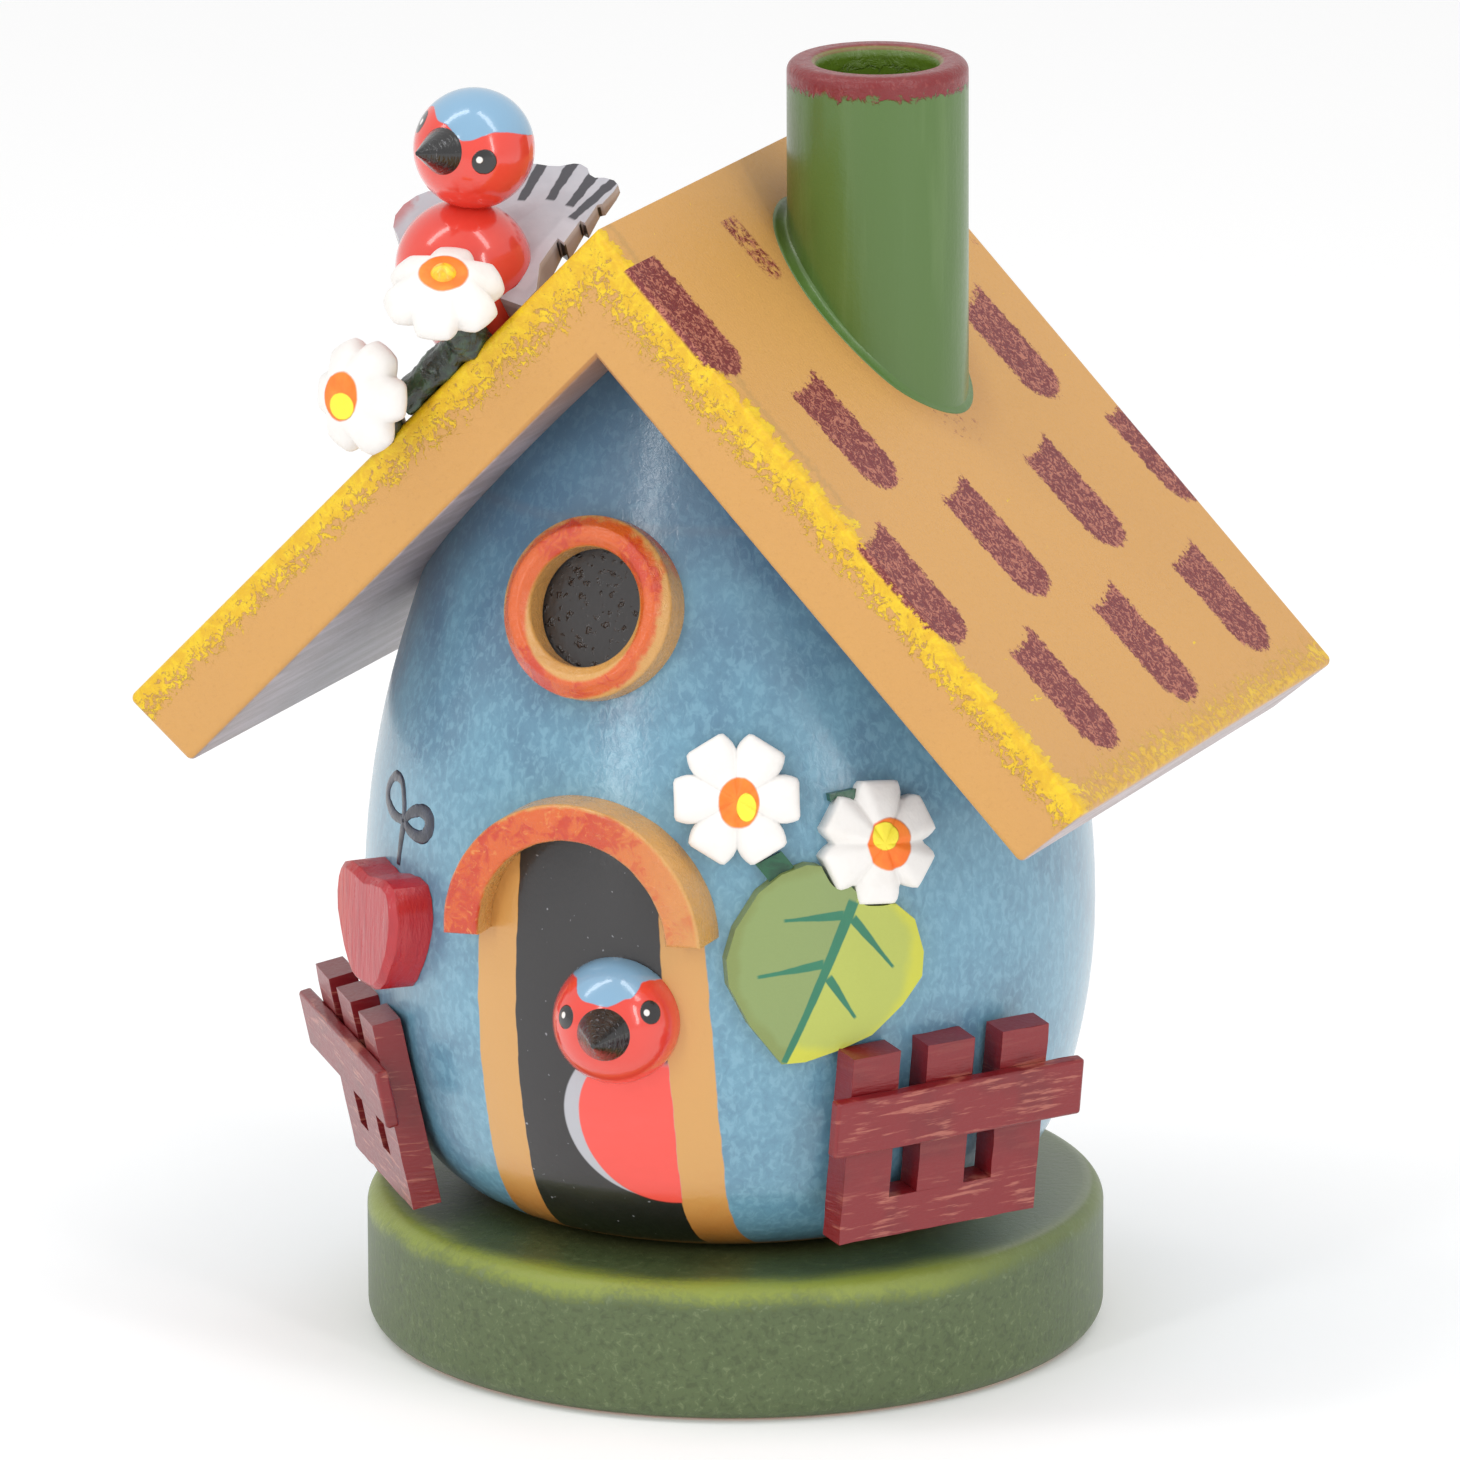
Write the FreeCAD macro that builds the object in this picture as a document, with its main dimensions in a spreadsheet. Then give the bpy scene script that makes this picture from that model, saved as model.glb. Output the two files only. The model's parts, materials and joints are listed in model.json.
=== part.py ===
import FreeCAD, Part

import math
import os

import Sketcher
from FreeCAD import Placement, Rotation, Vector

# A turned and painted wooden smoker in the shape of a birdhouse.
# Millimetres. +Z is up, the front gable and the door face -Y, the ridge runs along Y.
# The origin is the centre of the base's underside.

# Name, size in mm or degrees, what it is.
SIZES = [
    ("base_radius", 40.0, "turned base disc"),
    ("base_height", 15.2, "underside to top face of the disc"),
    ("base_top_round", 2.3, "rounding of the disc's upper rim"),
    ("base_foot_round", 2.5, "rounding of the disc's lower rim"),
    ("seat_gap", 0.2, "air between the base's top and the house that rests on it"),
    ("spigot_height", 4.0, "turned spigot that centres the house"),
    ("spigot_clearance", 0.9, "spigot to mouth, on the radius"),
    ("spigot_chamfer", 0.8, "lead-in on the spigot"),
    ("dish_radius", 12.5, "incense dish, outer"),
    ("dish_height", 2.6, "incense dish, floor to lip"),
    ("dish_wall", 0.6, "sheet metal of the dish"),
    ("nail_radius", 0.8, "nail that holds the dish"),
    ("nail_length", 9.0, "nail below the dish"),
    ("nail_head_radius", 2.0, "nail head"),
    ("nail_head_height", 0.9, "nail head"),
    ("wall_shift", -0.5, "turned wall's axis from the base's axis, sideways"),
    ("mouth_radius", 20.0, "opening in the underside of the house and the chamber bored from it"),
    ("chamber_straight", 66.0, "length of the straight bore"),
    ("chamber_depth", 80.0, "where the bore's taper ends"),
    ("chamber_top_radius", 8.0, "radius at the end of the taper"),
    ("seat_radius", 24.9, "edge on which the house stands"),
    ("hip_radius", 36.0, "wall where the lower curve ends"),
    ("hip_height", 10.1, "that point above the house's underside"),
    ("belly_radius", 39.5, "widest part of the wall"),
    ("belly_height", 31.6, "widest part above the house's underside"),
    ("shoulder_radius", 35.5, "wall where the long upper curve starts"),
    ("shoulder_height", 59.6, "that point above the house's underside"),
    ("neck_radius", 22.15, "wall close under the ridge"),
    ("neck_height", 94.6, "that point above the house's underside"),
    ("crown_radius", 15.1, "end of the turning, inside the roof"),
    ("crown_height", 104.6, "that end above the house's underside"),
    ("ridge_height", 112.9, "ridge above the house's underside"),
    ("roof_half_span", 56.0, "ridge to the eave's top corner, sideways"),
    ("roof_drop", 57.0, "ridge to the eave's top corner, downwards"),
    ("roof_thickness", 9.7, "roof board"),
    ("roof_depth", 67.7, "roof board, front to back"),
    ("eave_set_back", 0.7, "lower corner of the eave, back from square"),
    ("roof_round", 0.8, "rounding of the roof board's edges"),
    ("chimney_x", 15.1, "chimney axis, sideways"),
    ("chimney_y", 4.5, "chimney axis, towards the back"),
    ("chimney_radius", 9.7, "chimney, outer"),
    ("chimney_bore_radius", 6.4, "smoke bore"),
    ("chimney_rise", 11.9, "chimney's rim above the ridge"),
    ("chimney_rim_share", 0.36, "rounding of the chimney's rim, share of its wall"),
    ("chimney_bore_end", 60.0, "foot of the smoke bore above the house's underside"),
    ("window_height", 71.3, "window's centre above the house's underside"),
    ("window_turn", -1.5, "window, degrees round the wall from the front"),
    ("window_outer_radius", 9.8, "window ring, outer"),
    ("window_bore_radius", 6.4, "window ring, inner"),
    ("window_ring_height", 3.4, "ring's front above the wall"),
    ("window_recess", 0.8, "depth of the dark disc cut into the wall"),
    ("arch_turn", 1.0, "door, degrees round the wall from the front"),
    ("arch_spin", 3.0, "arch, degrees out of level"),
    ("arch_height", 37.5, "arch's centre above the house's underside"),
    ("arch_outer_radius", 14.9, "arch over the door, outer"),
    ("arch_inner_radius", 10.9, "arch over the door, inner"),
    ("arch_front", 41.6, "arch's front face from the house's axis"),
    ("arch_round", 0.5, "rounding of the arch's edges"),
    ("peeper_turn", 7.3, "bird in the door, degrees round the wall"),
    ("peeper_height", 28.8, "its head above the house's underside"),
    ("peeper_radius", 6.85, "its head"),
    ("peeper_beak_turn", 12.0, "direction of its beak"),
    ("beak_radius", 2.7, "roof bird's beak, at its base"),
    ("door_beak_radius", 3.1, "door bird's beak, at its base"),
    ("beak_length", 4.1, "beak cone, from the head's surface"),
    ("heart_turn", -39.0, "heart, degrees round the wall"),
    ("heart_height", 33.5, "heart's middle above the house's underside"),
    ("heart_width", 14.6, "heart, across"),
    ("heart_length", 12.8, "heart, top to point"),
    ("heart_thickness", 4.2, "heart's front above the wall"),
    ("heart_chamfer", 0.7, "cut along the heart's front edges"),
    ("leaf_turn", 39.5, "leaf, degrees round the wall"),
    ("leaf_height", 35.6, "leaf's middle above the house's underside"),
    ("leaf_width", 21.8, "leaf, across"),
    ("leaf_length", 22.0, "leaf, top to tip"),
    ("leaf_thickness", 1.7, "leaf, off the wall"),
    ("stem_width", 3.0, "flat stems on the wall"),
    ("stem_thickness", 1.1, "flat stems, off the wall"),
    ("daisy_radius", 7.1, "flowers, to the petal tips"),
    ("daisy_waist_radius", 5.3, "flowers, to the notches between the petals"),
    ("daisy_eye_radius", 2.6, "flat middle of a flower"),
    ("daisy_one_turn", 26.1, "front wall flower, degrees round the wall"),
    ("daisy_one_height", 52.9, "front wall flower above the house's underside"),
    ("daisy_one_thickness", 2.6, "front wall flower, off the wall"),
    ("daisy_two_turn", 48.3, "side wall flower, degrees round the wall"),
    ("daisy_two_height", 47.6, "side wall flower above the house's underside"),
    ("daisy_two_thickness", 3.3, "side wall flower, off the wall"),
    ("fence_width", 24.7, "fence, across its pickets"),
    ("fence_height", 21.5, "fence, bottom to picket tops"),
    ("fence_thickness", 3.2, "fence panel"),
    ("fence_gap", 3.5, "slot between two pickets"),
    ("fence_board", 4.6, "solid board below the slots"),
    
    ("rail_bottom", 10.9, "rail's lower edge above the fence's bottom"),
    ("rail_width", 6.4, "rail, top to bottom"),
    ("rail_thickness", 1.5, "rail"),
    ("fence_bite", 0.2, "how far a fence's back is let into the wall"),
    ("right_fence_turn", 57.3, "right fence, degrees round the wall"),
    ("right_fence_lean", 8.1, "right fence, leaning out"),
    ("right_fence_lift", 4.7, "right fence's bottom above the house's underside"),
    ("right_fence_shift", 1.0, "right fence, sideways"),
    ("right_rail_length", 31.2, "right fence's rail"),
    ("right_rail_shift", 0.8, "right rail's middle from its fence's middle"),
    ("left_fence_turn", -49.2, "left fence, degrees round the wall"),
    ("left_fence_lean", 11.8, "left fence, leaning out"),
    ("left_fence_lift", 2.4, "left fence's bottom above the house's underside"),
    ("left_fence_shift", -4.2, "left fence, sideways"),
    ("left_rail_length", 33.4, "left fence's rail"),
    ("left_rail_shift", -1.0, "left rail's middle from its fence's middle"),
    ("roof_daisy_radius", 6.55, "roof flowers, across the rim"),
    ("roof_daisy_height", 2.5, "roof flowers, rim to flat middle"),
    ("roof_daisy_rim", 1.6, "roof flowers, straight part under the petals"),
    ("knob_radius", 1.35, "yellow knob on a roof flower"),
    ("knob_height", 0.9, "yellow knob, above the flat middle"),
    ("roof_stem_radius", 2.2, "thick stems of the roof flowers"),
    ("bird_radius", 7.3, "roof bird's round body"),
    ("bird_head_radius", 6.45, "roof bird's head"),
    ("bird_head_sink", 0.7, "how far the head is let into the body"),
    ("tail_thickness", 3.2, "roof bird's wings and tail"),
]

doc = FreeCAD.newDocument("SmokerBirdhouse")
sheet = doc.addObject("Spreadsheet::Sheet", "Sizes")
for row, (alias, number, note) in enumerate(SIZES, start=1):
    sheet.set("A%d" % row, alias)
    sheet.set("B%d" % row, repr(number))
    sheet.set("C%d" % row, note)
    sheet.setAlias("B%d" % row, alias)
doc.recompute()


class Size:
    """A number together with the expression that ties it to the sheet."""

    def __init__(self, number, text):
        self.number = float(number)
        self.text = text

    def combined(self, other, sign, number):
        text = other.text if isinstance(other, Size) else repr(float(other))
        return Size(number, "(%s %s %s)" % (self.text, sign, text))

    def __add__(self, other):
        return self.combined(other, "+", self.number + plain(other))

    def __sub__(self, other):
        return self.combined(other, "-", self.number - plain(other))

    def __mul__(self, other):
        return self.combined(other, "*", self.number * plain(other))

    def __truediv__(self, other):
        return self.combined(other, "/", self.number / plain(other))


def plain(value):
    return value.number if isinstance(value, Size) else float(value)


def size(alias):
    return Size(sheet.get(alias), "Sizes." + alias)


def mm(alias):
    return float(sheet.get(alias))


def bind(thing, prop, value):
    """Tie a property to the sheet, or set a plain number."""
    if isinstance(value, Size):
        thing.setExpression(prop, value.text)
    else:
        setattr(thing, prop, value)


# ---------------------------------------------------------------- shared placements

HOUSE_FOOT = size("base_height") + size("seat_gap")
FOOT = HOUSE_FOOT.number
WALL_FOOT = Vector(mm("wall_shift"), 0, FOOT)
ROOF_RUN = math.hypot(mm("roof_half_span"), mm("roof_drop"))
SLOPE_X = mm("roof_half_span") / ROOF_RUN
SLOPE_Z = mm("roof_drop") / ROOF_RUN


def arc_centre_level(start, end, level):
    """Centre of an arc through two points, with its centre at a given height."""
    (r0, z0), (r1, z1) = start, end
    across = r1 - r0
    reach = (r1 * r1 - r0 * r0 + (z1 - level) ** 2 - (z0 - level) ** 2) / (2.0 * across)
    return reach, level


def arc_centre_tangent(joint, other, centre):
    """Centre of an arc that leaves the joint in line with the arc round centre, to the other point."""
    away = Vector(joint[0] - centre[0], joint[1] - centre[1], 0.0).normalize()
    step = Vector(joint[0] - other[0], joint[1] - other[1], 0.0)
    radius = step.dot(step) / (2.0 * away.dot(step))
    return joint[0] - radius * away.x, joint[1] - radius * away.y


SEAT = (mm("seat_radius"), 0.0)
HIP = (mm("hip_radius"), mm("hip_height"))
BELLY = (mm("belly_radius"), mm("belly_height"))
SHOULDER = (mm("shoulder_radius"), mm("shoulder_height"))
NECK = (mm("neck_radius"), mm("neck_height"))
CROWN = (mm("crown_radius"), mm("crown_height"))
LOW_CENTRE = arc_centre_level(HIP, BELLY, BELLY[1])
HIGH_CENTRE = arc_centre_level(BELLY, SHOULDER, BELLY[1])
HIP_CENTRE = arc_centre_tangent(HIP, SEAT, LOW_CENTRE)
NECK_CENTRE = arc_centre_tangent(SHOULDER, NECK, HIGH_CENTRE)
WALL_ARCS = [
    (SEAT, HIP, HIP_CENTRE),
    (HIP, BELLY, LOW_CENTRE),
    (BELLY, SHOULDER, HIGH_CENTRE),
    (SHOULDER, NECK, NECK_CENTRE),
]


def wall(height):
    """Radius of the turned wall at a height above the house's underside, and its outward tilt."""
    for start, end, (cr, cz) in WALL_ARCS:
        if height <= end[1] or end is NECK:
            radius = math.hypot(end[0] - cr, end[1] - cz)
            rise = height - cz
            out = math.sqrt(max(radius * radius - rise * rise, 0.0))
            return cr + out, math.degrees(math.asin(rise / radius))


def frame(origin, right, out):
    """Placement with X along right, Z along out and Y making the pair."""
    z = Vector(out).normalize()
    x = Vector(right) - z * z.dot(Vector(right))
    x.normalize()
    y = z.cross(x)
    matrix = FreeCAD.Matrix(
        x.x, y.x, z.x, origin.x,
        x.y, y.y, z.y, origin.y,
        x.z, y.z, z.z, origin.z,
        0, 0, 0, 1,
    )
    return Placement(matrix)


def outward(turn):
    angle = math.radians(turn)
    return Vector(math.sin(angle), -math.cos(angle), 0.0)


def rightward(turn):
    angle = math.radians(turn)
    return Vector(math.cos(angle), math.sin(angle), 0.0)


def on_wall(turn, height, spin=0.0, lift=0.0):
    """Placement on the wall's surface: Z out of the wall, Y up along it."""
    radius, tilt = wall(height)
    out = outward(turn) * math.cos(math.radians(tilt))
    out = out + Vector(0, 0, math.sin(math.radians(tilt)))
    origin = WALL_FOOT + outward(turn) * radius + Vector(0, 0, height) + out * lift
    place = frame(origin, rightward(turn), out)
    return place.multiply(Placement(Vector(), Rotation(Vector(0, 0, 1), spin)))


# ---------------------------------------------------------------- building helpers


def new_body(name):
    return doc.addObject("PartDesign::Body", name)


def origin_plane(body, role):
    for feature in body.Origin.OriginFeatures:
        if feature.Role == role:
            return feature
    raise ValueError("no plane " + role)


def new_sketch(body, name, role="XY_Plane"):
    sketch = body.newObject("Sketcher::SketchObject", name)
    sketch.AttachmentSupport = (origin_plane(body, role), [""])
    sketch.MapMode = "FlatFace"
    return sketch


def pin_point(sketch, geometry, point, x, y):
    """Hold one point of a sketch at distances from the sketch's origin."""
    for kind, value in (("DistanceX", x), ("DistanceY", y)):
        index = sketch.addConstraint(
            Sketcher.Constraint(kind, -1, 1, geometry, point, plain(value))
        )
        if isinstance(value, Size):
            sketch.setExpression("Constraints[%d]" % index, value.text)


def add_polygon(sketch, corners):
    """Closed outline of straight lines, every corner held from the origin."""
    count = len(corners)
    points = [Vector(plain(x), plain(y), 0) for x, y in corners]
    lines = [
        sketch.addGeometry(Part.LineSegment(points[i], points[(i + 1) % count]), False)
        for i in range(count)
    ]
    for i in range(count):
        following = lines[(i + 1) % count]
        sketch.addConstraint(Sketcher.Constraint("Coincident", lines[i], 2, following, 1))
        pin_point(sketch, lines[i], 1, *corners[i])


def turned(body, name, corners):
    """Revolve an outline, drawn in the XZ plane, round the Z axis."""
    sketch = new_sketch(body, name + "_profile", "XZ_Plane")
    add_polygon(sketch, corners)
    return revolve(body, name, sketch)


def revolve(body, name, sketch):
    solid = body.newObject("PartDesign::Revolution", name)
    solid.Profile = sketch
    solid.ReferenceAxis = (sketch, ["V_Axis"])
    solid.Angle = 360.0
    return solid


def pad(body, name, sketch, length, backwards=False):
    solid = body.newObject("PartDesign::Pad", name)
    solid.Profile = sketch
    bind(solid, "Length", length)
    solid.Reversed = backwards
    return solid


def rounded(body, name, base, radius, chooser, kind="PartDesign::Fillet"):
    """Fillet or chamfer the edges of base that chooser accepts, inside the same body."""
    doc.recompute()
    names = [
        "Edge%d" % (i + 1)
        for i, edge in enumerate(base.Shape.Edges)
        if chooser(edge)
    ]
    if not names:
        raise ValueError("no edge chosen for " + name)
    feature = body.newObject(kind, name)
    feature.Base = (base, names)
    bind(feature, "Radius" if kind.endswith("Fillet") else "Size", radius)
    return feature


def soften(name, base, radius, chooser):
    """Fillet chosen edges of a finished boolean."""
    doc.recompute()
    edges = [
        (i + 1, plain(radius), plain(radius))
        for i, edge in enumerate(base.Shape.Edges)
        if chooser(edge)
    ]
    if not edges:
        raise ValueError("no edge chosen for " + name)
    feature = doc.addObject("Part::Fillet", name)
    feature.Base = base
    feature.Edges = edges
    return feature


def cut(name, base, tool):
    feature = doc.addObject("Part::Cut", name)
    feature.Base = base
    feature.Tool = tool
    return feature


def common(name, base, tool):
    feature = doc.addObject("Part::Common", name)
    feature.Base = base
    feature.Tool = tool
    return feature


def fuse(name, shapes):
    feature = doc.addObject("Part::MultiFuse", name)
    feature.Shapes = shapes
    return feature


def prism(name, corners, plane, length, shift=0.0):
    """Straight prism over a polygon, as a helper solid."""
    body = new_body(name)
    sketch = new_sketch(body, name + "_outline", plane)
    add_polygon(sketch, corners)
    pad(body, name + "_pad", sketch, length)
    return body


def is_circle(edge):
    return isinstance(edge.Curve, Part.Circle)


def at_height(edge, height, within=0.02):
    box = edge.BoundBox
    return abs(box.ZMin - height) < within and abs(box.ZMax - height) < within


FINISHED = []


def finished(thing, label):
    thing.Label = label
    FINISHED.append(thing)
    return thing


# ---------------------------------------------------------------- base, dish and nail


def build_base():
    body = new_body("BaseDisc")
    radius, height = size("base_radius"), size("base_height")
    spigot = size("mouth_radius") - size("spigot_clearance")
    top = height + size("spigot_height")
    hole = size("nail_radius")
    solid = turned(body, "BaseTurning", [
        (0, 0), (radius, 0), (radius, height), (spigot, height), (spigot, top),
        (hole, top), (hole, top - size("nail_length")), (0, top - size("nail_length")),
    ])
    solid = rounded(body, "UpperRim", solid, size("base_top_round"),
                    lambda e: is_circle(e) and at_height(e, height.number)
                    and abs(e.Curve.Radius - radius.number) < 0.01)
    solid = rounded(body, "LowerRim", solid, size("base_foot_round"),
                    lambda e: is_circle(e) and at_height(e, 0.0))
    rounded(body, "SpigotLead", solid, size("spigot_chamfer"),
            lambda e: is_circle(e) and at_height(e, top.number)
            and e.Curve.Radius > 2 * hole.number, "PartDesign::Chamfer")
    return finished(body, "base_disc")


def build_dish():
    body = new_body("ConeDish")
    outer, height, sheet_wall = size("dish_radius"), size("dish_height"), size("dish_wall")
    floor = outer - size("dish_height") * 0.5
    turned(body, "DishTurning", [
        (size("nail_radius"), 0), (floor, 0), (outer, height),
        (outer - sheet_wall * 1.2, height), (floor - sheet_wall * 0.9, sheet_wall),
        (size("nail_radius"), sheet_wall),
    ])
    body.setExpression(".Placement.Base.z", (size("base_height") + size("spigot_height")).text)
    return finished(body, "incense_dish")


def build_nail():
    body = new_body("DishNail")
    radius, head = size("nail_radius"), size("nail_head_radius")
    foot = size("dish_wall")
    solid = turned(body, "NailTurning", [
        (0, size("nail_length") * -1.0), (radius, size("nail_length") * -1.0), (radius, foot),
        (head, foot), (head, foot + size("nail_head_height")),
        (0, foot + size("nail_head_height")),
    ])
    rounded(body, "NailDome", solid, size("nail_head_height") * 0.6,
            lambda e: is_circle(e)
            and at_height(e, mm("dish_wall") + mm("nail_head_height")))
    body.setExpression(".Placement.Base.z", (size("base_height") + size("spigot_height")).text)
    return finished(body, "dish_nail")


# ---------------------------------------------------------------- the turned wall


def wall_form(name, raised):
    """The solid turning of the wall, raised by a thickness where something lies on it."""
    body = new_body(name)
    sketch = new_sketch(body, name + "_profile", "XZ_Plane")
    raise_by = plain(raised)
    arcs = []
    for start, end, centre in WALL_ARCS:
        middle = Vector(centre[0] + raise_by, centre[1], 0)
        first = math.atan2(start[1] - centre[1], start[0] - centre[0])
        last = math.atan2(end[1] - centre[1], end[0] - centre[0])
        radius = math.hypot(end[0] - centre[0], end[1] - centre[1])
        circle = Part.Circle(middle, Vector(0, 0, 1), radius)
        arcs.append(sketch.addGeometry(Part.ArcOfCircle(circle, first, last), False))
    neck = Vector(NECK[0] + raise_by, NECK[1], 0)
    crown = Vector(CROWN[0] + raise_by, CROWN[1], 0)
    apex = Vector(0, CROWN[1], 0)
    foot = Vector(0, 0, 0)
    seat = Vector(SEAT[0] + raise_by, 0, 0)
    lines = [
        sketch.addGeometry(Part.LineSegment(a, b), False)
        for a, b in ((neck, crown), (crown, apex), (apex, foot), (foot, seat))
    ]
    chain = arcs + lines
    for here, there in zip(chain[3:], chain[4:] + chain[:1]):
        sketch.addConstraint(Sketcher.Constraint("Coincident", here, 2, there, 1))
    sketch.addConstraint(Sketcher.Constraint("Tangent", arcs[0], 2, arcs[1], 1))
    sketch.addConstraint(Sketcher.Constraint("Coincident", arcs[1], 2, arcs[2], 1))
    sketch.addConstraint(Sketcher.Constraint("Tangent", arcs[2], 2, arcs[3], 1))
    points = [
        (arcs[0], 1, size("seat_radius"), 0),
        (arcs[1], 1, size("hip_radius"), size("hip_height")),
        (arcs[2], 1, size("belly_radius"), size("belly_height")),
        (arcs[3], 1, size("shoulder_radius"), size("shoulder_height")),
        (lines[0], 1, size("neck_radius"), size("neck_height")),
        (lines[1], 1, size("crown_radius"), size("crown_height")),
    ]
    for geometry, point, across, up in points:
        pin_point(sketch, geometry, point, across + raised, up)
    pin_point(sketch, lines[2], 1, 0, size("crown_height"))
    pin_point(sketch, lines[3], 1, 0, 0)
    for arc in (arcs[1], arcs[2]):
        level = sketch.addConstraint(
            Sketcher.Constraint("DistanceY", -1, 1, arc, 3, mm("belly_height"))
        )
        sketch.setExpression("Constraints[%d]" % level, "Sizes.belly_height")
    revolve(body, name + "_turning", sketch)
    body.setExpression(".Placement.Base.x", "Sizes.wall_shift")
    body.setExpression(".Placement.Base.z", HOUSE_FOOT.text)
    return body


def roof_space():
    """Everything above the underside of the roof boards."""
    body = new_body("RoofSpace")
    sketch = new_sketch(body, "RoofSpaceOutline", "XZ_Plane")
    slant = mm("roof_thickness") / SLOPE_X
    inner = mm("ridge_height") - slant
    far = 2.0 * mm("roof_half_span")
    fall = far * SLOPE_Z / SLOPE_X
    add_polygon(sketch, [(-far, inner - fall), (0, inner), (far, inner - fall), (far, 3 * inner),
                         (-far, 3 * inner)])
    length = 4.0 * mm("roof_depth")
    pad(body, "RoofSpacePad", sketch, length)
    body.Placement = Placement(Vector(0, length / 2.0, FOOT), Rotation())
    return body


def build_shell(form):
    chamber = new_body("Chamber")
    straight, depth = size("chamber_straight"), size("chamber_depth")
    turned(chamber, "ChamberBore", [
        (0, -1), (size("mouth_radius"), -1), (size("mouth_radius"), straight),
        (size("chamber_top_radius"), depth), (0, depth),
    ])
    chamber.setExpression(".Placement.Base.x", "Sizes.wall_shift")
    chamber.setExpression(".Placement.Base.z", HOUSE_FOOT.text)
    hollow = cut("HollowWall", form, chamber)
    under = cut("WallUnderRoof", hollow, ROOF_SPACE)
    bored = cut("WallBored", under, smoke_bore("WallBore"))
    recess = doc.addObject("Part::Cylinder", "WindowRecess")
    bind(recess, "Radius", size("window_bore_radius"))
    recess.Height = 20.0
    recess.Placement = on_wall(mm("window_turn"), mm("window_height"),
                               lift=-mm("window_recess"))
    return finished(cut("EggShell", bored, recess), "egg_shell")


def smoke_bore(name):
    """The flue's bore, from inside the chamber to above the rim."""
    bore = doc.addObject("Part::Cylinder", name)
    bind(bore, "Radius", size("chimney_bore_radius"))
    start = HOUSE_FOOT + size("chimney_bore_end")
    bind(bore, "Height", size("ridge_height") + size("chimney_rise") - size("chimney_bore_end") + 1)
    bind(bore, "Placement.Base.x", size("chimney_x"))
    bind(bore, "Placement.Base.y", size("chimney_y"))
    bind(bore, "Placement.Base.z", start)
    return bore


# ---------------------------------------------------------------- roof and chimney


def roof_corners():
    """Section of a roof board, from its mitre at the ridge to its square-cut eave."""
    ridge, span, drop = size("ridge_height"), size("roof_half_span"), size("roof_drop")
    thick, back = size("roof_thickness"), size("eave_set_back")
    run = Size(ROOF_RUN, "sqrt(Sizes.roof_half_span ^ 2 + Sizes.roof_drop ^ 2)")
    return [
        (0, ridge), (0, ridge - thick * run / span),
        (span - thick * drop / run - back * span / run,
         ridge - drop - thick * span / run + back * drop / run),
        (span, ridge - drop),
    ]


def roof_board(name, turn):
    body = new_body(name)
    sketch = new_sketch(body, name + "_section", "XZ_Plane")
    add_polygon(sketch, roof_corners())
    solid = pad(body, name + "_board", sketch, size("roof_depth"))
    rounded(body, name + "_edges", solid, size("roof_round"),
            lambda e: e.BoundBox.XMax > 0.5 and not on_mitre(e))
    side = mm("roof_depth") / 2.0
    rotation = Rotation(Vector(0, 0, 1), turn)
    body.Placement = Placement(rotation.multVec(Vector(0, side, 0)) + Vector(0, 0, FOOT), rotation)
    return body


def on_mitre(edge):
    return edge.BoundBox.XMax < 0.01


def build_roof():
    left = finished(roof_board("RoofBoardLeft", 180.0), "roof_board_left")
    right = roof_board("RoofBoardRight", 0.0)
    bored = cut("RoofBoardRightBored", right, smoke_bore("RoofBore"))
    finished(bored, "roof_board_right")
    return left, bored


def build_chimney():
    tube = doc.addObject("Part::Cylinder", "ChimneyTurning")
    bind(tube, "Radius", size("chimney_radius"))
    reach = (mm("chimney_x") + mm("chimney_radius")) * SLOPE_Z / SLOPE_X
    low = FOOT + mm("ridge_height") - reach - 1.0
    tube.Height = FOOT + mm("ridge_height") + mm("chimney_rise") - low
    tube.Placement.Base = Vector(mm("chimney_x"), mm("chimney_y"), low)
    far = 2.0 * mm("roof_half_span")
    ridge = mm("ridge_height")
    ground = prism("BelowSlope", [
        (-far, ridge + far * SLOPE_Z / SLOPE_X), (-far, -far), (far, -far),
        (far, ridge - far * SLOPE_Z / SLOPE_X),
    ], "XZ_Plane", 2.0 * mm("roof_depth"))
    ground.Placement = Placement(Vector(0, mm("roof_depth"), FOOT), Rotation())
    seated = cut("ChimneySeated", tube, ground)
    bored = cut("ChimneyBored", seated, smoke_bore("ChimneyBore"))
    top = FOOT + mm("ridge_height") + mm("chimney_rise")
    wall_thickness = size("chimney_radius") - size("chimney_bore_radius")
    rim = soften("ChimneyTube", bored, wall_thickness * size("chimney_rim_share"),
                 lambda e: is_circle(e) and at_height(e, top))
    return finished(rim, "chimney_tube")


# ---------------------------------------------------------------- window, door and heart


def build_window(form):
    body = new_body("WindowTurning")
    outer, inner = size("window_outer_radius"), size("window_bore_radius")
    front = size("window_ring_height")
    solid = turned(body, "RingTurning", [
        (inner, -3), (outer, -3), (outer, front * 0.55), (outer - front * 0.4, front),
        (inner + front * 0.3, front), (inner, front * 0.75),
    ])
    rounded(body, "RingRound", solid, front * 0.18,
            lambda e: is_circle(e) and e.BoundBox.ZMin > 0)
    body.Placement = on_wall(mm("window_turn"), mm("window_height"))
    return finished(cut("WindowRing", body, form), "window_ring")


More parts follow.
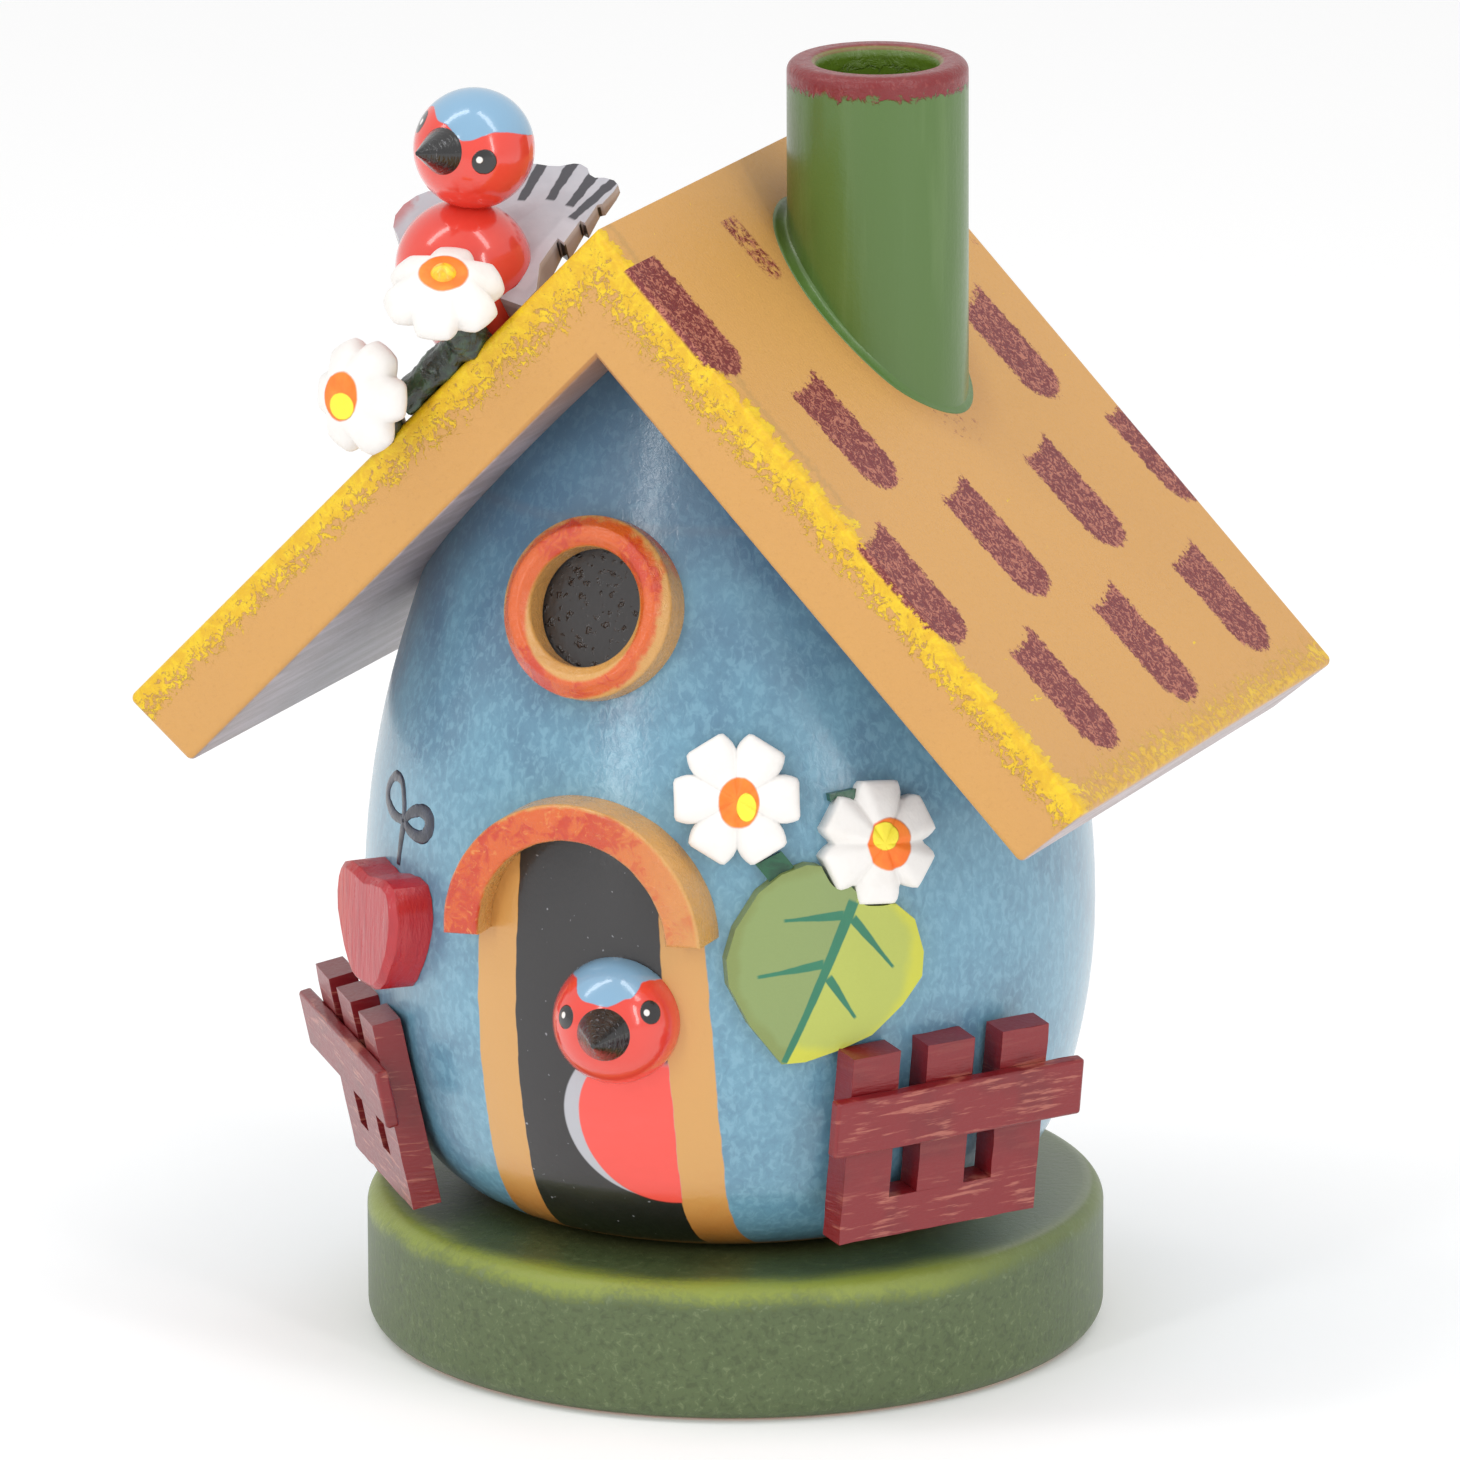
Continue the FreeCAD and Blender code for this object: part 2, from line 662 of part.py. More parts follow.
def build_arch(form):
    body = new_body("ArchBlock")
    sketch = new_sketch(body, "ArchOutline")
    outer, inner = size("arch_outer_radius"), size("arch_inner_radius")
    zero, up = Vector(0, 0, 0), Vector(0, 0, 1)
    outside = sketch.addGeometry(
        Part.ArcOfCircle(Part.Circle(zero, up, outer.number), 0.0, math.pi), False)
    inside = sketch.addGeometry(
        Part.ArcOfCircle(Part.Circle(zero, up, inner.number), 0.0, math.pi), False)
    feet = []
    for side in (1, -1):
        feet.append(sketch.addGeometry(Part.LineSegment(
            Vector(side * inner.number, 0, 0), Vector(side * outer.number, 0, 0)), False))
    for arc, radius in ((outside, outer), (inside, inner)):
        sketch.addConstraint(Sketcher.Constraint("Coincident", arc, 3, -1, 1))
        held = sketch.addConstraint(Sketcher.Constraint("Radius", arc, radius.number))
        sketch.setExpression("Constraints[%d]" % held, radius.text)
    for arc, end in ((inside, 1), (outside, 2)):
        for point, foot in ((1, feet[0]), (2, feet[1])):
            sketch.addConstraint(Sketcher.Constraint("Coincident", arc, point, foot, end))
    for foot in feet:
        sketch.addConstraint(Sketcher.Constraint("PointOnObject", foot, 1, -1))
        sketch.addConstraint(Sketcher.Constraint("PointOnObject", foot, 2, -1))
    depth = 0.5 * mm("arch_front")
    solid = pad(body, "ArchPad", sketch, depth)
    rounded(body, "ArchRound", solid, size("arch_round"), lambda e: at_height(e, depth))
    turn = mm("arch_turn")
    origin = WALL_FOOT + outward(turn) * (mm("arch_front") - depth)
    origin = origin + Vector(0, 0, mm("arch_height"))
    level = Placement(Vector(), Rotation(Vector(0, 0, 1), mm("arch_spin")))
    body.Placement = frame(origin, rightward(turn), outward(turn)).multiply(level)
    return finished(cut("DoorArch", body, form), "door_arch")


def ball(name, centre, radius):
    sphere = doc.addObject("Part::Sphere", name)
    bind(sphere, "Radius", radius)
    sphere.Placement.Base = centre
    return sphere


def beak(name, label, centre, radius, aim, head, key="beak_radius"):
    """A short cone that stands on a ball, pointing along aim."""
    cone = doc.addObject("Part::Cone", name + "Cone")
    bind(cone, "Radius1", size(key))
    cone.Radius2 = 0.25
    sunk = math.sqrt(radius ** 2 - mm(key) ** 2) - 0.3
    cone.Height = radius + mm("beak_length") - sunk
    cone.Placement = frame(centre + Vector(aim).normalize() * sunk, Vector(0, 0, 1), aim)
    return finished(cut(name, cone, head), label)


def build_peeper(form):
    radius, _ = wall(mm("peeper_height"))
    centre = WALL_FOOT + outward(mm("peeper_turn")) * radius
    centre = centre + Vector(0, 0, mm("peeper_height"))
    whole = ball("PeeperBall", centre, size("peeper_radius"))
    whole.Placement = frame(centre, Vector(0, 0, 1), outward(mm("peeper_turn")))
    head = finished(cut("DoorBirdHead", whole, form), "door_bird_head")
    aim = outward(mm("peeper_beak_turn")) + Vector(0, 0, 0.02)
    beak("DoorBirdBeak", "door_bird_beak", centre, mm("peeper_radius"), aim, whole, "door_beak_radius")
    return head


HEART_SIDE = [
    (0.30, 0.96), (0.62, 1.00), (0.84, 0.92), (0.96, 0.70), (1.00, 0.40), (0.97, 0.08),
    (0.88, -0.24), (0.75, -0.52), (0.59, -0.78), (0.43, -0.95), (0.24, -1.00),
]


def heart_outline():
    """Heart worn to a shield: a shallow dip at the top, round shoulders and a blunt foot."""
    return [(0.0, 0.90)] + HEART_SIDE + [(-x, y) for x, y in reversed(HEART_SIDE)]


def build_heart(form):
    body = new_body("HeartBlock")
    sketch = new_sketch(body, "HeartOutline")
    half, top = size("heart_width") / 2.0, size("heart_length") / 2.0
    add_polygon(sketch, [(half * x, top * y) for x, y in heart_outline()])
    solid = pad(body, "HeartPad", sketch, size("heart_thickness") + 2.0)
    front = mm("heart_thickness") + 2.0
    rounded(body, "HeartEdge", solid, size("heart_chamfer"),
            lambda e: at_height(e, front), "PartDesign::Chamfer")
    body.Placement = on_wall(mm("heart_turn"), mm("heart_height"), lift=-2.0)
    return finished(cut("Heart", body, form), "heart")


# ---------------------------------------------------------------- flowers and leaf on the wall


def petals(radius, waist, count=6):
    """Closed spline through round petal tips and the notches between them."""
    points = []
    for i in range(count):
        middle = 2.0 * math.pi * i / count
        for share, reach in ((-0.5, waist), (-0.27, radius * 0.97), (0.0, radius),
                             (0.27, radius * 0.97)):
            angle = middle + share * 2.0 * math.pi / count
            points.append(Vector(reach * math.cos(angle), reach * math.sin(angle), 0))
    curve = Part.BSplineCurve()
    curve.interpolate(points, PeriodicFlag=True)
    return Part.Wire([curve.toShape()])


def daisy_slab(name, thickness, place, scale):
    """Flat flower with round petals, straight through the wall's surface."""
    wire = petals(mm("daisy_radius") * scale, mm("daisy_waist_radius") * scale)
    slab = doc.addObject("Part::Feature", name)
    slab.Shape = Part.Face(wire).extrude(Vector(0, 0, thickness + 2.5))
    slab.Placement = place
    return slab


def wall_daisy(name, label, key, form, spin, scale=1.0):
    place = on_wall(mm(key + "_turn"), mm(key + "_height"), spin=spin, lift=-2.5)
    slab = daisy_slab(name + "Slab", mm(key + "_thickness"), place, scale)
    return finished(cut(name, slab, form), label)


LEAF_SHAPE = [
    (-0.45, -1.00), (-0.76, -0.60), (-0.96, -0.20), (-0.98, 0.06), (-0.89, 0.36), (-0.66, 0.71),
    (-0.43, 0.88), (-0.18, 0.96), (0.07, 0.92), (0.29, 0.68), (0.40, 0.55), (0.72, 0.50),
    (0.91, 0.33), (1.00, 0.00), (0.98, -0.24), (0.77, -0.50), (0.45, -0.77), (0.09, -0.90),
    (-0.22, -0.99),
]


def build_leaf(form, over):
    half, reach = mm("leaf_width") / 2.0, mm("leaf_length") / 2.0
    points = [Vector(x * half, y * reach, 0) for x, y in LEAF_SHAPE]
    outline = Part.makePolygon(points + points[:1])
    slab = doc.addObject("Part::Feature", "LeafSlab")
    slab.Shape = Part.Face(outline).extrude(Vector(0, 0, 12.0))
    slab.Placement = on_wall(mm("leaf_turn"), mm("leaf_height"), lift=-6.0)
    raised = wall_form("LeafSkin", size("leaf_thickness"))
    skin = cut("LeafOffWall", common("LeafSheet", slab, raised), form)
    for index, other in enumerate(over[:-1]):
        skin = cut("LeafClear%d" % index, skin, other)
    return finished(cut("Leaf", skin, over[-1]), "leaf")


def wall_strip(name, turn, height, length, spin):
    """Short flat stem that crosses the wall's surface."""
    strip = doc.addObject("Part::Box", name)
    bind(strip, "Width", size("stem_width"))
    strip.Length = length
    strip.Height = 10.0
    place = on_wall(turn, height, spin=spin, lift=-5.0)
    strip.Placement = place.multiply(
        Placement(Vector(-length / 2.0, -mm("stem_width") / 2.0, 0), Rotation()))
    return strip


def build_wall_stems(form, leaf, daisies):
    turn, height = mm("leaf_turn"), mm("leaf_height")
    first = wall_strip("StemToFront", turn - 9.5, height + 12.0, 7.0, -52.0)
    second = wall_strip("StemToSide", turn + 4.5, height + 12.5, 10.5, -84.0)
    both = fuse("StemStrips", [first, second])
    raised = wall_form("StemSkin", size("stem_thickness"))
    sheet_of = common("StemSheet", both, raised)
    bare = cut("StemOffWall", sheet_of, form)
    bare = cut("StemOffLeaf", bare, leaf)
    for index, daisy in enumerate(daisies):
        bare = cut("StemOffDaisy%d" % index, bare, daisy)
    return finished(bare, "wall_stems")


# ---------------------------------------------------------------- fences


def fence_place(side):
    """Back of the panel at its bottom middle: Y up along the leaning board, Z outwards."""
    turn, lean = mm(side + "_fence_turn"), math.radians(mm(side + "_fence_lean"))
    lift, shift = mm(side + "_fence_lift"), mm(side + "_fence_shift")
    nearest = None
    for step in range(81):
        along = mm("fence_height") * step / 80.0
        radius, _ = wall(lift + along * math.cos(lean))
        start = radius - along * math.sin(lean)
        nearest = start if nearest is None else max(nearest, start)
    distance = nearest - mm("fence_bite")
    up = Vector(0, 0, math.cos(lean)) + outward(turn) * math.sin(lean)
    right = rightward(turn)
    origin = WALL_FOOT + outward(turn) * distance + right * shift + Vector(0, 0, lift)
    return frame(origin, right, right.cross(up))


def build_fence(side, form):
    place = fence_place(side)
    name = side.capitalize() + "Fence"
    body = new_body(name + "Panel")
    half, tall = size("fence_width") / 2.0, size("fence_height")
    sketch = new_sketch(body, name + "Outline")
    add_polygon(sketch, [(half * -1.0, 0), (half, 0), (half, tall), (half * -1.0, tall)])
    solid = pad(body, name + "Board", sketch, size("fence_thickness"))
    whole = solid
    doc.recompute()
    volume = whole.Shape.Volume
    picket = (size("fence_width") - size("fence_gap") * 2.0) / 3.0
    start = half * -1.0 + picket
    slot = new_sketch(body, name + "SlotOutline")
    add_polygon(slot, [
        (start, size("fence_board")), (start + size("fence_gap"), size("fence_board")),
        (start + size("fence_gap"), tall + 1.0), (start, tall + 1.0),
    ])
    pocket = body.newObject("PartDesign::Pocket", name + "Slot")
    pocket.Profile = slot
    pocket.Type = "ThroughAll"
    pocket.Reversed = True
    doc.recompute()
    if pocket.Shape.Volume > volume - 1.0:
        pocket.Reversed = False
        doc.recompute()
    pattern = body.newObject("PartDesign::LinearPattern", name + "Slots")
    pattern.Originals = [pocket]
    pattern.Direction = (slot, ["H_Axis"])
    pattern.Occurrences = 2
    bind(pattern, "Length", picket + size("fence_gap"))
    body.Tip = pattern
    doc.recompute()
    gap = mm("fence_gap") * (mm("fence_height") - mm("fence_board")) * mm("fence_thickness")
    if abs(volume - body.Shape.Volume - 2.0 * gap) > 0.01 * gap:
        raise ValueError("the slots of the %s fence are not cut" % side)
    body.Placement = place
    panel = finished(cut(name, body, form), side + "_fence_panel")

    rail = new_body(name + "Rail")
    sketch = new_sketch(rail, name + "RailOutline")
    reach, low = size(side + "_rail_length") / 2.0, size("rail_bottom")
    start, end = size(side + "_rail_shift") - reach, size(side + "_rail_shift") + reach
    high = low + size("rail_width")
    add_polygon(sketch, [(start, low), (end, low), (end, high), (start, high)])
    solid = pad(rail, name + "RailPad", sketch, size("rail_thickness"))
    thick = mm("rail_thickness")
    rounded(rail, name + "RailEdge", solid, 0.4, lambda e: at_height(e, thick))
    rail.Placement = place.multiply(Placement(Vector(0, 0, mm("fence_thickness")), Rotation()))
    finished(rail, side + "_fence_rail")
    return panel


# ---------------------------------------------------------------- flowers and bird on the roof


def slope_point(along, off, y):
    """Point over the left slope: distance down from the ridge, distance off the board, and y."""
    ridge = Vector(0, y, FOOT + mm("ridge_height"))
    down = Vector(-SLOPE_X, 0, -SLOPE_Z)
    out = Vector(-SLOPE_Z, 0, SLOPE_X)
    return ridge + down * along + out * off


# Rim centre as (down the slope, off the board, y), then the way the flower looks.
ROOF_DAISIES = [
    ("RoofDaisyUpper", "roof_flower_upper", (17.65, 5.75, -36.3), (0.22, -0.47, 0.85), 30.0),
    ("RoofDaisyLower", "roof_flower_lower", (32.1, 4.2, -36.0), (-0.38, -0.90, 0.17), 0.0),
]


def build_knob(place, height, flower):
    rise = mm("knob_height")
    dome = (mm("knob_radius") ** 2 + rise ** 2) / (2.0 * rise)
    knob = doc.addObject("Part::Sphere", "KnobBall")
    knob.Radius = dome
    knob.Placement.Base = place.multVec(Vector(0, 0, height - dome + rise))
    finished(cut("Knob", knob, flower), "roof_flower_knob")


def build_roof_daisies(board):
    stems, flowers = [], []
    height, rim = mm("roof_daisy_height"), mm("roof_daisy_rim")
    outer, eye = mm("roof_daisy_radius"), mm("daisy_eye_radius")
    for name, label, (along, off, y), aim, spin in ROOF_DAISIES:
        centre = slope_point(along, off, y)
        place = frame(centre, Vector(1, 0, 0), Vector(aim))
        place = place.multiply(Placement(Vector(), Rotation(Vector(0, 0, 1), spin)))
        cone = doc.addObject("Part::Cone", name + "Cone")
        cone.Radius1 = outer
        cone.Radius2 = eye
        cone.Height = height
        foot = doc.addObject("Part::Cylinder", name + "Rim")
        foot.Radius = outer
        foot.Height = rim
        bead = fuse(name + "Bead", [cone, foot])
        cone.Placement.Base = Vector(0, 0, rim)
        grooves = []
        for i in range(6):
            groove = doc.addObject("Part::Cone", "%sGroove%d" % (name, i))
            groove.Radius1 = 1.9
            groove.Radius2 = 0.5
            groove.Height = rim + height * 0.8
            turn = Rotation(Vector(0, 0, 1), 60.0 * i)
            groove.Placement = Placement(turn.multVec(Vector(outer + 0.4, 0, -0.05)), turn)
            grooves.append(groove)
        comb = fuse(name + "Grooves", grooves)
        bead.Placement = place
        comb.Placement = place
        flower = cut(name + "Notched", bead, comb)
        flowers.append(flower)
        finished(cut(name, flower, board), label)
        if label == "roof_flower_upper":
            build_knob(place, rim + height, flower)
        stem = doc.addObject("Part::Cylinder", name + "Stem")
        bind(stem, "Radius", size("roof_stem_radius"))
        landing = slope_point(along + (4.0 if y > -36.4 else 1.0), -0.5, -31.0)
        start = centre
        way = landing - start
        stem.Height = way.Length
        stem.Placement = frame(start, Vector(0, 1, 0), way)
        stems.append(cut(name + "StemClear", cut(name + "StemSeat", stem, board), flower))
    first, last = slope_point(19.0, 1.6, -32.2), slope_point(31.5, 1.6, -32.2)
    link = doc.addObject("Part::Cylinder", "StemAlongEdge")
    bind(link, "Radius", size("roof_stem_radius") * 0.9)
    link.Height = (last - first).Length
    link.Placement = frame(first, Vector(0, 1, 0), last - first)
    link = cut("StemAlongSeat", link, board)
    for index, flower in enumerate(flowers):
        link = cut("StemAlongClear%d" % index, link, flower)
    finished(fuse("RoofStems", stems + [link]), "roof_flower_stems")


BIRD_ALONG = 19.55
BIRD_OFF = 8.64
BIRD_Y = -24.5
BIRD_FOOT = Vector(2.6, 0.0, -7.6)
BIRD_AIM = Vector(-0.153, -0.979, 0.139)
TAIL_END = Vector(7.2, 13.5, 7.6)
TAIL_SHAPE = [
    (-8.0, -3.0), (-11.0, 0.5), (-12.5, 1.7), (-13.4, 3.3), (-13.6, 5.1), (-13.0, 6.8), (-12.2, 7.9),
    (-9.6, 8.6), (-7.4, 9.6), (-5.9, 10.6), (-5.6, 14.2), (-4.9, 15.6), (-3.6, 16.1), (-2.2, 16.4),
    (-1.2, 16.8), (0.2, 17.7), (1.0, 17.9), (2.0, 17.7), (2.8, 17.0), (3.6, 16.8), (4.7, 17.2),
    (5.9, 17.2), (6.7, 16.8), (6.9, 15.8), (6.85, 13.6), (6.4, 13.3), (6.8, 10.4), (6.1, 10.5),
    (6.5, 6.9), (5.4, 7.3), (6.1, 3.1), (8.0, -0.3), (8.0, -3.0),
]


def build_roof_bird(board):
    centre = slope_point(BIRD_ALONG, BIRD_OFF, BIRD_Y)
    breast = ball("BirdBreast", centre, size("bird_radius"))
    skirt = doc.addObject("Part::Cone", "BirdSkirt")
    bind(skirt, "Radius1", size("bird_radius") * 0.7)
    bind(skirt, "Radius2", size("bird_radius"))
    skirt.Height = BIRD_FOOT.Length
    skirt.Placement = frame(centre + BIRD_FOOT, Vector(0, 1, 0), BIRD_FOOT * -1.0)
    body = fuse("BirdForm", [breast, skirt])
    rise = mm("bird_radius") + mm("bird_head_radius") - mm("bird_head_sink")
    head_at = centre + Vector(1.3, 0, rise)
    head = ball("BirdHeadBall", head_at, size("bird_head_radius"))
    seated = cut("BirdSeated", body, board)
    finished(cut("RoofBirdBody", seated, head), "roof_bird_body")
    finished(head, "roof_bird_head")
    beak("RoofBirdBeak", "roof_bird_beak", head_at, mm("bird_head_radius"), BIRD_AIM, head)

    along = Vector(TAIL_END).normalize()
    across = Vector(0.972, -0.187, -0.131)
    face = across.cross(along)
    place = frame(centre + across * 1.8 + Vector(0, 0, 0.4), across, face)
    points = [Vector(x, y, 0) for x, y in TAIL_SHAPE]
    outline = Part.makePolygon(points + points[:1])
    slab = doc.addObject("Part::Feature", "TailSlab")
    thick = mm("tail_thickness")
    slab.Shape = Part.Face(outline).extrude(Vector(0, 0, thick))
    slab.Placement = place.multiply(Placement(Vector(0, 0, -thick), Rotation()))
    thinning = doc.addObject("Part::Box", "TailThinning")
    thinning.Length, thinning.Width, thinning.Height = 40.0, 30.0, 10.0
    lean = Rotation(Vector(1, 0, 0), 9.0)
    thinning.Placement = place.multiply(
        Placement(Vector(-20.0, 4.0, -thick) - lean.multVec(Vector(0, 0, 10.0)), lean))
    clear = cut("TailOffBoard", cut("TailThinned", slab, thinning), board)
    clear = cut("TailOffHead", clear, head)
    finished(cut("RoofBirdTail", clear, body), "roof_bird_wings_and_tail")


# ---------------------------------------------------------------- assembly and export

WALL_FORM = wall_form("WallForm", Size(0.0, "0"))
ROOF_SPACE = roof_space()
build_base()
build_dish()
build_nail()
build_shell(WALL_FORM)
roof_left, roof_right = build_roof()
build_chimney()
build_window(WALL_FORM)
build_arch(WALL_FORM)
build_peeper(WALL_FORM)
build_heart(WALL_FORM)
right_fence = build_fence("right", WALL_FORM)
build_fence("left", WALL_FORM)
daisy_one = wall_daisy("DaisyOne", "wall_flower_front", "daisy_one", WALL_FORM, 0.0)
daisy_two = wall_daisy("DaisyTwo", "wall_flower_side", "daisy_two", WALL_FORM, 25.0, 0.95)
leaf = build_leaf(WALL_FORM, [right_fence, daisy_two])
build_wall_stems(WALL_FORM, leaf, [daisy_one, daisy_two])
build_roof_daisies(roof_left)
build_roof_bird(roof_left)
doc.recompute()

faults = []
for thing in doc.Objects:
    if "Invalid" in thing.State or "Error" in thing.State:
        faults.append("%s: %s" % (thing.Name, thing.State))
for thing in FINISHED:
    if thing.Shape.isNull() or not thing.Shape.isValid() or not thing.Shape.Solids:
        faults.append("%s: no valid solid" % thing.Label)
if faults:
    raise SystemExit("\n".join(faults))

os.makedirs("parts", exist_ok=True)
for thing in FINISHED:
    thing.Shape.exportStep(os.path.join("parts", thing.Label + ".step"))
print("%d sub-parts written" % len(FINISHED))
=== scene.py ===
"""Looks of the painted wooden birdhouse smoker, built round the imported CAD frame. Metres."""
import json
import math

import bmesh
import bpy
from mathutils import Matrix, Vector, noise
from mathutils.bvhtree import BVHTree


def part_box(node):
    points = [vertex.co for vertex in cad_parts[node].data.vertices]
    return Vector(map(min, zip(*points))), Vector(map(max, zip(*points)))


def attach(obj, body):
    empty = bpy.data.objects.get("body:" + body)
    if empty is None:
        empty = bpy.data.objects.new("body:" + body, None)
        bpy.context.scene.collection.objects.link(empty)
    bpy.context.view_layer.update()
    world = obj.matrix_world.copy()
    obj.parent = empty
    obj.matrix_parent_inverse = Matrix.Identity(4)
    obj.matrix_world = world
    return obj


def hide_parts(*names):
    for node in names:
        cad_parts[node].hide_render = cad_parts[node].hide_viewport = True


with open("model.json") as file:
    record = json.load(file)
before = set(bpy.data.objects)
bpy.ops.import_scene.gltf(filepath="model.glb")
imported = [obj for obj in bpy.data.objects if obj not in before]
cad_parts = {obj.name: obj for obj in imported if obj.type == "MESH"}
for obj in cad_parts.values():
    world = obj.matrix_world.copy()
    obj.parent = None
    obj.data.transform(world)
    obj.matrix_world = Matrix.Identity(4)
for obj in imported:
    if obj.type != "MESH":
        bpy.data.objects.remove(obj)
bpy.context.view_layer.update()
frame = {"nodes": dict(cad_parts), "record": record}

noise.seed_set(5)

MM = 0.001
BODY_OF = {n: b for b, nodes in frame["record"]["behaviour"]["bodies"].items() for n in nodes}


def box_mm(node):
    low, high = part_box(node)
    return low / MM, high / MM


# ---------------------------------------------------------------- measures, mostly read from the frame

ROOF_HALF_SPAN, ROOF_DROP, EAVE_SET_BACK, BOARD_THICK = 56.0, 57.0, 0.7, 9.7
SEAT_GAP, CHIMNEY_BORE = 0.2, 6.4

WALL_LOW, WALL_HIGH = box_mm("egg_shell")
AXIS_X = (WALL_LOW.x + WALL_HIGH.x) / 2.0
ROOF_LOW, ROOF_HIGH = box_mm("roof_board_right")
RIDGE = ROOF_HIGH.z
ROOF_FRONT, ROOF_BACK = ROOF_LOW.y, ROOF_HIGH.y
SLOPE = math.atan2(ROOF_DROP, ROOF_HALF_SPAN)
SLOPE_RUN, SLOPE_FALL = math.cos(SLOPE), math.sin(SLOPE)
SLOPE_LENGTH = math.hypot(ROOF_DROP, ROOF_HALF_SPAN) - EAVE_SET_BACK
CHIMNEY_LOW, CHIMNEY_HIGH = box_mm("chimney_tube")
CHIMNEY_X = (CHIMNEY_LOW.x + CHIMNEY_HIGH.x) / 2.0
CHIMNEY_Y = (CHIMNEY_LOW.y + CHIMNEY_HIGH.y) / 2.0
CHIMNEY_RADIUS = (CHIMNEY_HIGH.x - CHIMNEY_LOW.x) / 2.0
BASE_RADIUS = box_mm("base_disc")[1].x
BASE_TOP = WALL_LOW.z - SEAT_GAP
ARCH_LOW, ARCH_HIGH = box_mm("door_arch")
ARCH_X = (ARCH_LOW.x + ARCH_HIGH.x) / 2.0
ARCH_Z = ARCH_HIGH.z - (ARCH_HIGH.x - ARCH_LOW.x) / 2.0
RING_CENTRE = sum(box_mm("window_ring"), Vector()) / 2.0


# ---------------------------------------------------------------- material kit


def tint(red, green, blue):
    """Linear colour from the usual 0 to 255 screen values."""
    def linear(value):
        share = value / 255.0
        return share / 12.92 if share <= 0.04045 else ((share + 0.055) / 1.055) ** 2.4
    return (linear(red), linear(green), linear(blue), 1.0)


class Wire:
    """One number of a material's node tree, used in plain arithmetic."""

    def __init__(self, paint, socket):
        self.paint = paint
        self.socket = socket

    def __add__(self, other):
        return self.paint.math("ADD", self, other)

    def __sub__(self, other):
        return self.paint.math("SUBTRACT", self, other)

    def __rsub__(self, other):
        return self.paint.math("SUBTRACT", other, self)

    def __mul__(self, other):
        return self.paint.math("MULTIPLY", self, other)

    def __truediv__(self, other):
        return self.paint.math("DIVIDE", self, other)

    __radd__ = __add__
    __rmul__ = __mul__


